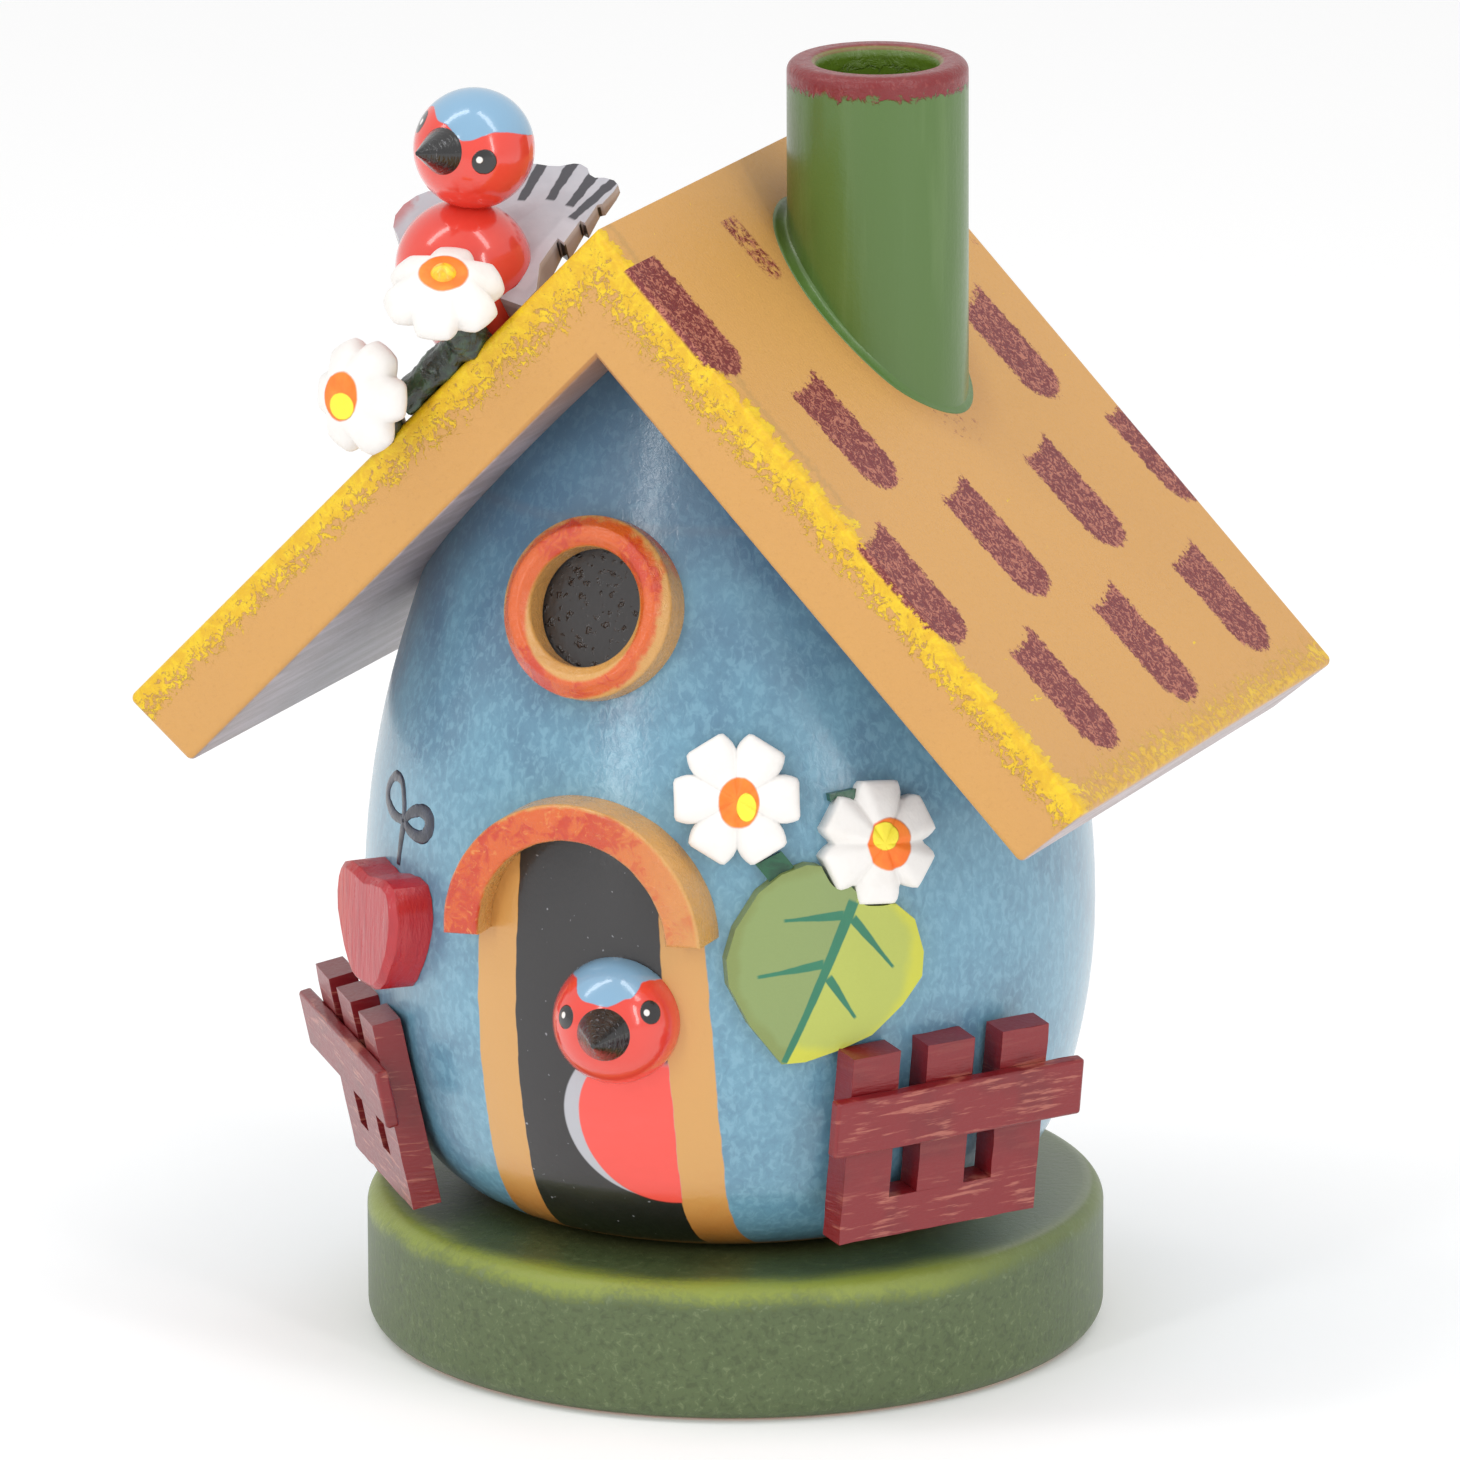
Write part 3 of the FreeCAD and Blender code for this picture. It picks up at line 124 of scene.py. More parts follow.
class Paint:
    """A procedural material in object millimetres: layers of colour, then roughness and bump."""

    def __init__(self, name, colour, coat=0.35, coat_roughness=0.18, metallic=0.0):
        self.material = bpy.data.materials.new(name)
        self.material.use_nodes = True
        self.nodes = self.material.node_tree.nodes
        self.links = self.material.node_tree.links
        self.nodes.clear()
        self.shader = self.nodes.new("ShaderNodeBsdfPrincipled")
        output = self.nodes.new("ShaderNodeOutputMaterial")
        self.links.new(self.shader.outputs[0], output.inputs[0])
        self.shader.inputs["Coat Weight"].default_value = coat
        self.shader.inputs["Coat Roughness"].default_value = coat_roughness
        self.shader.inputs["Metallic"].default_value = metallic
        place = self.nodes.new("ShaderNodeTexCoord")
        scale = self.nodes.new("ShaderNodeVectorMath")
        scale.operation = "SCALE"
        scale.inputs["Scale"].default_value = 1.0 / MM
        self.links.new(place.outputs["Object"], scale.inputs[0])
        self.point = scale.outputs[0]
        split = self.nodes.new("ShaderNodeSeparateXYZ")
        self.links.new(self.point, split.inputs[0])
        self.x, self.y, self.z = (Wire(self, s) for s in split.outputs)
        self.colour = colour

    def feed(self, socket, value):
        if isinstance(value, Wire):
            self.links.new(value.socket, socket)
        elif isinstance(value, bpy.types.NodeSocket):
            self.links.new(value, socket)
        else:
            socket.default_value = value

    def math(self, operation, *values):
        node = self.nodes.new("ShaderNodeMath")
        node.operation = operation
        for socket, value in zip(node.inputs, values):
            self.feed(socket, value)
        return Wire(self, node.outputs[0])

    def either(self, *masks):
        result = masks[0]
        for mask in masks[1:]:
            result = self.math("MAXIMUM", result, mask)
        return result

    def ramp(self, value, low, high):
        """0 up to low, 1 from high, smooth between; low may be the larger one."""
        node = self.nodes.new("ShaderNodeMapRange")
        node.interpolation_type = "SMOOTHSTEP"
        flip = low > high
        self.feed(node.inputs["Value"], value)
        node.inputs["From Min"].default_value = min(low, high)
        node.inputs["From Max"].default_value = max(low, high)
        node.inputs["To Min"].default_value = 1.0 if flip else 0.0
        node.inputs["To Max"].default_value = 0.0 if flip else 1.0
        return Wire(self, node.outputs["Result"])

    def inside(self, value, low, high, soft):
        """1 between low and high, with soft edges."""
        return self.ramp(value, low - soft, low + soft) * self.ramp(value, high + soft, high - soft)

    def along(self, origin, axis):
        """Distance of the point from the origin, along the axis, in mm."""
        node = self.nodes.new("ShaderNodeVectorMath")
        node.operation = "DOT_PRODUCT"
        self.links.new(self.point, node.inputs[0])
        node.inputs[1].default_value = tuple(axis)
        return Wire(self, node.outputs["Value"]) - Vector(origin).dot(Vector(axis))

    def span(self, du, dv):
        """Length of the flat vector (du, dv)."""
        return self.math("SQRT", du * du + dv * dv)

    def distance(self, centre):
        node = self.nodes.new("ShaderNodeVectorMath")
        node.operation = "DISTANCE"
        self.links.new(self.point, node.inputs[0])
        node.inputs[1].default_value = tuple(centre)
        return Wire(self, node.outputs["Value"])

    def noise(self, size, detail=3.0, rough=0.55, stretch=(1.0, 1.0, 1.0), twist=0.0, seed=0.0):
        """Fractal noise of about 0 to 1, whose lumps are about size mm."""
        shift = self.nodes.new("ShaderNodeVectorMath")
        shift.operation = "MULTIPLY_ADD"
        self.links.new(self.point, shift.inputs[0])
        shift.inputs[1].default_value = stretch
        shift.inputs[2].default_value = (seed * 17.3, seed * 9.1, seed * 5.7)
        node = self.nodes.new("ShaderNodeTexNoise")
        self.links.new(shift.outputs[0], node.inputs["Vector"])
        node.inputs["Scale"].default_value = 1.0 / size
        node.inputs["Detail"].default_value = detail
        node.inputs["Roughness"].default_value = rough
        node.inputs["Distortion"].default_value = twist
        return Wire(self, node.outputs["Fac"])

    def mix(self, share, first, second):
        node = self.nodes.new("ShaderNodeMix")
        node.data_type = "RGBA"
        self.feed(node.inputs["Factor"], share)
        self.feed(node.inputs[6], first)
        self.feed(node.inputs[7], second)
        return node.outputs[2]

    def layer(self, mask, colour):
        self.colour = self.mix(mask, self.colour, colour)

    def stroke(self, u, v, start, end, start_width, end_width, wobble):
        """Mask of a straight brush stroke in the plane of u and v, from one width to the other."""
        run = Vector(end) - Vector(start)
        length = run.length
        way = run / length
        du, dv = u - start[0], v - start[1]
        forward = du * way.x + dv * way.y
        aside = self.math("ABSOLUTE", dv * way.x - du * way.y)
        half = self.ramp(forward, 0.0, length) * (end_width - start_width) * 0.5 + start_width * 0.5
        body = self.ramp(aside - half + wobble, 0.08, -0.08)
        return body * self.inside(forward, 0.0, length, 0.2)

    def oval(self, u, v, centre, radii, soft, wobble=0.0):
        du, dv = (u - centre[0]) / radii[0], (v - centre[1]) / radii[1]
        return self.ramp(self.span(du, dv) + wobble, 1.0 + soft, 1.0 - soft)

    def finish(self, roughness, height=None, depth=0.0001):
        self.feed(self.shader.inputs["Base Color"], self.colour)
        self.feed(self.shader.inputs["Roughness"], roughness)
        if height is not None:
            bump = self.nodes.new("ShaderNodeBump")
            bump.inputs["Strength"].default_value = 1.0
            bump.inputs["Distance"].default_value = depth
            self.feed(bump.inputs["Height"], height)
            self.links.new(bump.outputs[0], self.shader.inputs["Normal"])
            self.links.new(bump.outputs[0], self.shader.inputs["Coat Normal"])
        return self.material


# ---------------------------------------------------------------- colours

BLUE_DEEP, BLUE, BLUE_LIGHT = tint(80, 118, 146), tint(106, 156, 180), tint(142, 190, 210)
TAN, TAN_DARK, TAN_ORANGE = tint(212, 158, 86), tint(168, 114, 66), tint(200, 120, 44)
YELLOW, YELLOW_DEEP = tint(238, 200, 20), tint(226, 178, 20)
MAROON, MAROON_PALE = tint(116, 32, 36), tint(190, 116, 92)
LILAC = tint(196, 184, 190)
GREEN, GREEN_WARM = tint(80, 113, 48), tint(74, 88, 28)
RED_DARK = tint(124, 18, 24)
MOSS, MOSS_DARK, MOSS_BRIGHT = tint(84, 100, 60), tint(48, 60, 28), tint(146, 160, 60)
ORANGE_RED = tint(200, 56, 16)
CORAL, CORAL_DARK, CAP = tint(230, 66, 52), tint(160, 32, 28), tint(134, 174, 204)
BLACK, GREY, WHITE = tint(24, 21, 23), tint(184, 185, 192), tint(244, 241, 237)
BAR = tint(62, 61, 68)
FENCE, FENCE_DARK, FENCE_SHEEN = tint(132, 20, 27), tint(98, 14, 20), tint(192, 112, 94)
LEAF_OLIVE, LEAF_LIME, LEAF_EDGE = tint(137, 156, 94), tint(180, 189, 86), tint(208, 206, 52)
VEIN = tint(30, 108, 82)
STEM_GREEN, STEM_DARK = tint(30, 92, 62), tint(22, 34, 26)
DOT = (tint(255, 118, 22), tint(255, 150, 50))
DOT_YELLOW = (tint(255, 236, 60), tint(255, 236, 60))


# ---------------------------------------------------------------- materials


FRAME_EDGES, DOOR_EDGES = (-12.1, 14.9), (-7.1, 10.3)
DOOR_BELLY = 36.0


def blue_mottle(p, stipple, cloud):
    upward = p.ramp(p.z, 62.0, 104.0)
    p.layer(p.ramp(cloud + upward * 0.35, 0.42, 0.86), BLUE_DEEP)
    p.layer(p.ramp(stipple, 0.46, 0.64) * (0.4 - upward * 0.28), BLUE_LIGHT)
    p.layer(p.ramp(stipple, 0.46, 0.32) * 0.26, BLUE_DEEP)
    p.layer(p.ramp(p.noise(1.1, detail=1.0, seed=8.0), 0.76, 0.84) * 0.5, BLUE_DEEP)


def painted_door(p, side):
    """Tan frame and black door under the arch; gives the door's mask and where the breast may be."""
    front = p.ramp(p.y, -8.0, -9.0)
    over = p.z - ARCH_Z
    arched = p.ramp(p.span(p.x - ARCH_X, over), 12.6, 12.2)
    under_arch = p.either(p.ramp(over, 0.2, -0.2), arched) * front
    belly = p.ramp(p.math("ABSOLUTE", p.z - DOOR_BELLY), 4.0, 22.0)
    left, right = side - belly * 0.3, side + belly * 0.9

    def between(edges, soft):
        halves = p.inside(left, edges[0], 0.0, soft), p.inside(right, 0.0, edges[1], soft)
        return p.either(*halves) * under_arch

    low = p.ramp(p.z + p.noise(4.0, seed=4.0) * 6.0, 30.0, 20.0)
    p.layer(between(FRAME_EDGES, 0.08), p.mix(low * 0.8, TAN, TAN_ORANGE))
    black = between(DOOR_EDGES, 0.07)
    specks = p.ramp(p.noise(0.55, detail=0.0, seed=5.0), 0.80, 0.86) * 0.5
    p.layer(black, p.mix(specks, p.mix(low, BLACK, tint(12, 10, 9)), GREY))
    held = p.ramp(right, DOOR_EDGES[1] + 0.15, DOOR_EDGES[1]) * p.ramp(p.z, 40.0, 39.0) * front
    return black, held


def painted_breast(p, flat, held):
    """The door bird's round breast over a grey crescent; gives the breast's mask."""
    crescent = p.oval(flat, p.z, (8.2, 32.7), (10.0, 9.35), 0.012) * held
    breast = p.oval(flat, p.z, (9.0, 32.4), (9.1, 9.5), 0.012) * held
    p.layer(crescent, GREY)
    streaks = p.noise(5.0, stretch=(1.0, 1.0, 2.5), seed=6.0)
    p.layer(breast, p.mix(streaks, tint(248, 80, 70), tint(240, 74, 60)))
    return breast


def wall_paint():
    """Mottled blue, with the painted door, its frame and the bird's breast on the front."""
    p = Paint("wall_paint_mottled", BLUE, coat=0.75, coat_roughness=0.16)
    stipple = p.noise(0.85, detail=4.0, rough=0.6, stretch=(1.0, 1.0, 0.7), twist=0.6)
    cloud = p.noise(13.0, detail=2.0, seed=1.0)
    fine = p.noise(0.5, detail=2.0, seed=2.0)
    blue_mottle(p, stipple, cloud)

    wobble = (p.noise(3.5, detail=2.0, seed=3.0) - 0.5) * 0.5
    sideways = p.x - AXIS_X
    black, held = painted_door(p, sideways + wobble)
    breast = painted_breast(p, sideways + wobble * 0.3, held)

    recess = p.ramp(p.distance(RING_CENTRE + Vector((0.0, 2.0, 0.0))), 7.2, 6.9)
    pitted = p.ramp(p.noise(0.9, detail=3.0, seed=7.0), 0.55, 0.75)
    p.layer(recess, p.mix(pitted * 0.35, tint(26, 20, 20), tint(78, 66, 62)))
    bare_inside = p.ramp(p.span(sideways, p.y), 29.0, 27.0) * p.ramp(p.z, 96.0, 94.0)
    p.layer(bare_inside, p.mix(cloud, TAN_DARK, TAN))

    height = stipple * (0.4 - p.either(black, recess) * 0.25) + cloud * 0.6 + fine * 0.12
    height = height + black * 0.35 + breast * 0.3 + recess * pitted * 1.4
    return p.finish(stipple * 0.3 + 0.22 + recess * 0.05, height, 0.00012)


def roof_wash(p, down, off, bare):
    """Thin lilac under the board and on its eave, and dark tan painted shade in the ridge's inner corner.
    """
    under = p.ramp(off, 0.6 - BOARD_THICK, 0.4 - BOARD_THICK)
    eave = p.ramp(down, SLOPE_LENGTH - 0.9, SLOPE_LENGTH - 0.5) * p.ramp(off, -0.4, -1.6)
    streak = p.noise(1.4, detail=4.0, stretch=(1.0, 0.1, 1.0), seed=4.0)
    lilac = p.mix(p.ramp(streak, 0.35, 0.7), tint(168, 156, 158), LILAC)
    p.layer(p.either(under, eave) * bare * 0.92, lilac)
    # painted shade: dark tan under the board near the ridge, in the apex's inner corner
    p.layer(p.ramp(down, 30.0, 8.0) * under * 0.8, TAN_DARK)


def roof_yellow(p, down, off, on_top, on_front, flake):
    """Yellow dry-brushed along the board's front edge and faintly along its eave."""
    drag = p.noise(1.6, detail=4.0, rough=0.7, stretch=(1.0, 0.35, 1.0), twist=0.6, seed=7.0)
    spread = (flake - 0.5) * 3.2
    front_width = p.ramp(down, 55.0, 5.0) * 2.2 + 4.4
    front_cover = p.math("SMOOTH_MAX", 1.0 + off / front_width, 0.0, 0.1)
    front = p.ramp(spread + front_cover, 0.36, 0.50) * p.ramp(front_cover, 0.03, 0.2) * on_front
    inward = p.y - ROOF_FRONT
    top = p.ramp((drag - 0.5) * 2.6 + p.ramp(inward, 4.2, 0.0), 0.50, 0.64) * on_top
    low_cover = p.ramp(SLOPE_LENGTH - down, 7.5, -0.5) * 0.9
    low = p.ramp(spread + low_cover, 0.62, 0.95) * p.ramp(off, -2.2, -1.2) * on_top * 0.7
    yellow = p.either(front, top, low)
    p.layer(yellow, p.mix(p.ramp(drag, 0.4, 0.65), YELLOW_DEEP, YELLOW))
    smudge = p.inside(inward + (drag - 0.5) * 4.0, 2.6, 3.6, 0.5) * on_top * p.ramp(down, 46.0, 36.0)
    p.layer(smudge * 0.2, tint(120, 112, 76))
    return yellow


def roof_paint(name, side):
    """Tan board; side is +1 for the right slope and -1 for the left one."""
    p = Paint(name, TAN, coat=0.1, coat_roughness=0.3)
    down = p.along((0, 0, RIDGE), (SLOPE_RUN * side, 0, -SLOPE_FALL))
    off = p.along((0, 0, RIDGE), (SLOPE_FALL * side, 0, SLOPE_RUN))
    grain = p.noise(2.2, detail=5.0, rough=0.6, stretch=(0.5, 0.12, 0.5), seed=1.0)
    cloud = p.noise(16.0, detail=3.0, seed=2.0)
    fine = p.noise(0.4, detail=3.0, seed=3.0)
    flake = p.noise(0.95, detail=5.0, rough=0.74, twist=1.1, seed=6.0)
    p.layer(p.ramp(cloud, 0.4, 0.75) * 0.28, tint(204, 152, 88))
    p.layer(p.ramp(fine, 0.55, 0.8) * 0.16, TAN_DARK)

    on_top = p.ramp(off, -0.7, -0.3)
    on_front = p.ramp(p.y, ROOF_FRONT + 0.5, ROOF_FRONT + 0.25)
    on_back = p.ramp(p.y, ROOF_BACK - 0.5, ROOF_BACK - 0.25)
    roof_wash(p, down, off, (1.0 - on_front) * (1.0 - on_back))
    yellow = roof_yellow(p, down, off, on_top, on_front, flake)
    if side > 0:
        p.layer(roof_dabs(p, down) * on_top, roof_dab_colour(p))
        shade = p.ramp(p.span(p.x - CHIMNEY_X, p.y - CHIMNEY_Y), 14.5, CHIMNEY_RADIUS)
        p.layer(shade * on_top * 0.3, TAN_DARK)
    height = yellow * 0.25 + flake * 0.5 + grain * 0.45 + fine * 0.25
    return p.finish(fine * 0.2 + 0.34, height, 0.00016)


def roof_dab_colour(p):
    scratch_and_highlight = p.noise(0.8, detail=4.0, rough=0.7, twist=1.6, seed=12.0)
    return p.mix(p.ramp(scratch_and_highlight, 0.51, 0.55) * 0.85, MAROON, MAROON_PALE)


def roof_dabs(p, down):
    """Brush dabs in staggered rows down the slope, round at the foot and notched at the head.

    In the first row one dab is thin and the ones behind it are worn off, as is one in the second.
    """
    row_pitch, column_pitch, first_row, first_column = 17.9, 21.3, 5.2, -30.4
    row = (down - first_row) / row_pitch
    index = p.math("FLOOR", row)
    odd = p.math("FLOORED_MODULO", index, 2.0)
    column = (p.y - first_column - odd * (column_pitch / 2.0)) / column_pitch + 0.5
    cell = p.math("FLOOR", column)
    u = (row - index - 0.5) * row_pitch
    jitter = p.math("SINE", index * 12.9 + cell * 7.7)
    v = (column - cell - 0.5) * column_pitch - jitter * 0.5 - u * 0.05
    edge = (p.noise(0.75, detail=5.0, rough=0.78, seed=10.0) - 0.5) * 3.6
    first = p.ramp(index, 0.6, 0.4)
    second = p.inside(index, 0.5, 1.5, 0.1)
    thin = first * p.inside(cell, 0.5, 1.5, 0.1)
    gone = p.either(first * p.ramp(cell, 1.4, 1.6), second * p.inside(cell, 0.5, 1.5, 0.1))
    half_width = 3.75 - thin * 1.9
    u = u + first * 2.2 + thin * 3.9
    length = 7.4 + first * 1.5 + jitter * 0.4 - thin * 3.6
    sides = p.ramp(p.math("ABSOLUTE", v) + edge * 0.9 - half_width, 0.2, -0.2)
    over = p.math("MAXIMUM", u - length + half_width, 0.0)
    foot = p.ramp(p.span(over, v) + edge * 0.9 - half_width, 0.2, -0.2)
    head = p.ramp(u + length + v * v * 0.06 + v * 0.2 - 1.0 + edge * 1.3, -0.2, 0.2)
    whole = sides * foot * head * p.ramp(down, SLOPE_LENGTH - 1.2, SLOPE_LENGTH - 2.2)
    whole = whole * p.ramp(index, -0.6, -0.4)
    bits = p.ramp(p.noise(0.8, detail=4.0, rough=0.7, seed=14.0), 0.58, 0.64)
    return whole * (1.0 - gone + gone * bits * 0.6) * (1.0 - thin + thin * p.ramp(edge, -0.3, 0.2))


def chimney_paint():
    p = Paint("chimney_paint_streaked", GREEN, coat=0.4, coat_roughness=0.22)
    dx = p.x - CHIMNEY_X
    radius = p.span(dx, p.y - CHIMNEY_Y)
    streak = p.noise(2.4, detail=4.0, stretch=(1.0, 1.0, 0.08), seed=1.0)
    blotch = p.noise(7.0, detail=2.0, seed=2.0)
    fine = p.noise(0.45, detail=2.0, seed=3.0)
    p.layer(p.ramp(dx + blotch * 6.0, 1.0, -7.0) * 0.75, GREEN_WARM)
    p.layer(p.ramp(streak, 0.5, 0.75) * 0.3, tint(108, 136, 80))
    ragged = p.noise(1.3, detail=4.0, rough=0.7, twist=1.0, seed=4.0)
    top = CHIMNEY_HIGH.z
    rim = p.ramp(p.z + (ragged - 0.5) * 3.4, top - 2.6, top - 2.1)
    worn = p.ramp(p.noise(0.8, detail=3.0, seed=5.0), 0.55, 0.72) * 0.33
    p.layer(rim, p.mix(worn, RED_DARK, tint(176, 92, 84)))
    # olive bore colour, dimmed deeper down the bore as painted shade
    bore_olive_shaded = p.mix(p.ramp(top - p.z, 1.5, 16.0), tint(88, 116, 26), tint(52, 68, 18))
    p.layer(p.ramp(radius, CHIMNEY_BORE + 0.35, CHIMNEY_BORE + 0.15), bore_olive_shaded)
    lip = p.inside(radius, CHIMNEY_BORE + 0.1, CHIMNEY_BORE + 0.6, 0.2) * p.ramp(p.z, top - 0.6, top - 0.2)
    p.layer(lip * 0.7, tint(120, 140, 60))
    height = streak * 0.5 + blotch * 0.6 + fine * 0.15 + rim * ragged * 1.2
    return p.finish(fine * 0.2 + 0.27, height, 0.00014)


def base_paint():
    p = Paint("base_paint_stippled", MOSS, coat=0.25, coat_roughness=0.3)
    radius = p.span(p.x, p.y)
    stipple = p.noise(0.85, detail=5.0, rough=0.65, twist=0.6)
    cloud = p.noise(15.0, detail=2.0, seed=1.0)
    p.layer(p.ramp(stipple, 0.5, 0.36) * 0.42, MOSS_DARK)
    p.layer(p.ramp(stipple, 0.54, 0.7) * 0.45, tint(132, 146, 104))
    p.layer(p.ramp(cloud, 0.5, 0.8) * 0.3, MOSS_DARK)
    ragged = (stipple - 0.5) * 4.0 + (cloud - 0.5) * 5.0
    rim = p.ramp(BASE_TOP - p.z + ragged * 0.8, 2.9, 0.4) * p.ramp(BASE_RADIUS - radius + ragged, 5.0, 1.0)
    front = p.ramp(p.y + p.x * 0.7, 22.0, -12.0)
    # lime paint on the rim, made stronger towards the front as painted light
    p.layer(rim * (front * 0.6 + 0.25), MOSS_BRIGHT)
    top = p.ramp(p.z, BASE_TOP - 0.4, BASE_TOP - 0.1)
    # painted sheen: pale grey on the top towards the back
    p.layer(top * p.ramp(front, 0.5, 0.0) * 0.6, tint(142, 146, 126))
    # painted shadow: dark on the top round the foot of the egg
    p.layer(top * p.ramp(radius + ragged * 0.6, 30.0, 22.0) * 0.8, tint(44, 52, 28))
    under = p.ramp(p.z, 0.25, 0.1)
    p.layer(under, p.mix(p.noise(2.0, detail=4.0, stretch=(1.0, 0.1, 1.0), seed=2.0), TAN_DARK, TAN))
    return p.finish(stipple * 0.3 + 0.36, stipple * 0.9 + cloud * 0.5)


def mottled_orange(name, spare, red_share, pale_share):
    """Orange and red-orange crackled over tan; spare(p) masks the parts left tan."""
    p = Paint(name, TAN, coat=0.6, coat_roughness=0.12)
    crackle = p.noise(1.7, detail=6.0, rough=0.66, twist=1.6, seed=1.0)
    cloud = p.noise(7.0, detail=2.0, seed=2.0)
    pale = p.noise(1.2, detail=5.0, rough=0.68, twist=1.6, seed=3.0)
    painted = 1.0 - spare(p)
    p.layer(painted, tint(216, 94, 26))
    p.layer(painted * p.ramp(crackle * 0.6 + cloud * 0.7 + red_share, 0.64, 0.76), ORANGE_RED)
    p.layer(painted * p.ramp(pale + pale_share, 0.58, 0.68) * 0.7, tint(230, 148, 72))
    p.layer((1.0 - painted) * p.ramp(cloud, 0.5, 0.8) * 0.35, TAN_DARK)
    return p.finish(crackle * 0.15 + 0.2, crackle * 1.0 + cloud * 0.4, 0.00014)


def arch_bare(p):
    """Bare wood on the arch's rims and behind its front face."""
    reach = p.span(p.x - ARCH_X, p.z - ARCH_Z)
    edge = (p.noise(1.6, detail=3.0, seed=9.0) - 0.5) * 1.2
    front = p.ramp(p.y, ARCH_LOW.y + 0.7, ARCH_LOW.y + 0.2)
    return p.either(1.0 - front, p.ramp(reach + edge, 14.4, 15.0), p.ramp(reach + edge, 11.0, 10.6))


def ring_bare(p):
    """Bare wood on the ring's rims, wider at its lower right."""
    dx, dz = p.x - RING_CENTRE.x, p.z - RING_CENTRE.z
    reach = p.span(dx, dz)
    edge = (p.noise(1.6, detail=3.0, seed=9.0) - 0.5) * 1.6
    lower_right = p.ramp(dx - dz, 2.0, 11.0)
    return p.either(p.ramp(reach + edge + lower_right * 0.9, 9.2, 9.8), p.ramp(reach, 6.9, 6.5))


def head_paint(name, centre, radius, cap_line, eyes):
    """Coral head; cap_line gives how high the blue cap starts at each azimuth; eyes are ways."""
    p = Paint(name, CORAL, coat=0.8, coat_roughness=0.06)
    ux, uy, uz = (w / radius for w in (p.x - centre.x, p.y - centre.y, p.z - centre.z))
    cloud = p.noise(4.0, detail=2.0, seed=1.0)
    fine = p.noise(0.6, detail=3.0, seed=2.0)
    p.layer(p.ramp(cloud, 0.5, 0.8) * 0.3, tint(226, 84, 70))
    azimuth = p.math("ARCTAN2", ux, 0.0 - uy) / (2.0 * math.pi) + 0.5
    curve = p.nodes.new("ShaderNodeValToRGB")
    curve.color_ramp.interpolation = "EASE"
    stops = curve.color_ramp.elements
    while len(stops) < len(cap_line):
        stops.new(0.5)
    for stop, (degrees, level) in zip(stops, cap_line):
        stop.position = degrees / 360.0 + 0.5
        stop.color = (level, level, level, 1.0)
    p.feed(curve.inputs[0], azimuth)
    level = Wire(p, curve.outputs[0])
    edge = uz - level + (p.noise(1.2, seed=3.0) - 0.5) * 0.04
    cap = p.ramp(edge, -0.012, 0.012)
    p.layer(cap, p.mix(cloud, tint(128, 170, 200), CAP))
    bumps = cap * 0.3
    for way, size, glint in eyes:
        way, glint = Vector(way).normalized(), Vector(glint).normalized()
        eye = p.ramp(p.distance(centre + way * radius) + fine * 0.12, size + 0.1, size - 0.02)
        dot = p.ramp(p.distance(centre + glint * radius), 0.42, 0.3)
        p.layer(eye, BLACK)
        p.layer(dot, WHITE)
        bumps = bumps + eye * 1.2 + dot * 0.8
    return p.finish(fine * 0.08 + 0.16, cloud * 0.4 + fine * 0.1 + bumps, 0.00012)


def bird_body_paint():
    p = Paint("roof_bird_coral", CORAL, coat=0.8, coat_roughness=0.06)
    cloud = p.noise(5.0, detail=3.0, seed=4.0)
    bottom = box_mm("roof_bird_body")[0].z
    shade = p.ramp(p.z - p.x * 0.5 + cloud * 4.0, bottom + 16.0, bottom + 9.0)
    p.layer(p.ramp(cloud, 0.45, 0.75) * 0.35, tint(232, 84, 68))
    p.layer(shade * 0.8, CORAL_DARK)
    return p.finish(cloud * 0.1 + 0.14, cloud * 0.7, 0.00012)


def beak_paint():
    p = Paint("beak_black_highlight_streaked", tint(14, 12, 14), coat=0.8, coat_roughness=0.08)
    scratch_and_highlight = p.noise(1.1, detail=3.0, stretch=(2.4, 2.4, 0.25), twist=0.6)
    # painted highlight: pale streaks along the beak standing for its glossy reflections
    p.layer(p.ramp(scratch_and_highlight, 0.64, 0.68) * 0.3, tint(170, 170, 178))
    return p.finish(scratch_and_highlight * 0.2 + 0.15, scratch_and_highlight * 0.6)


TAIL_ACROSS = Vector((0.972, -0.187, -0.131)).normalized()
TAIL_FACE = TAIL_ACROSS.cross(Vector((7.2, 13.5, 7.6))).normalized()
TAIL_ALONG = TAIL_FACE.cross(TAIL_ACROSS)
BREAST_TO_HEAD = Vector((1.3, 0.0, 13.05))
TAIL_BARS = [((-1.8, 10.6), (-3.1, 16.6)), ((1.1, 11.9), (0.0, 18.0)), ((3.7, 11.9), (3.3, 17.6)),
             ((5.0, 10.4), (6.0, 17.6))]


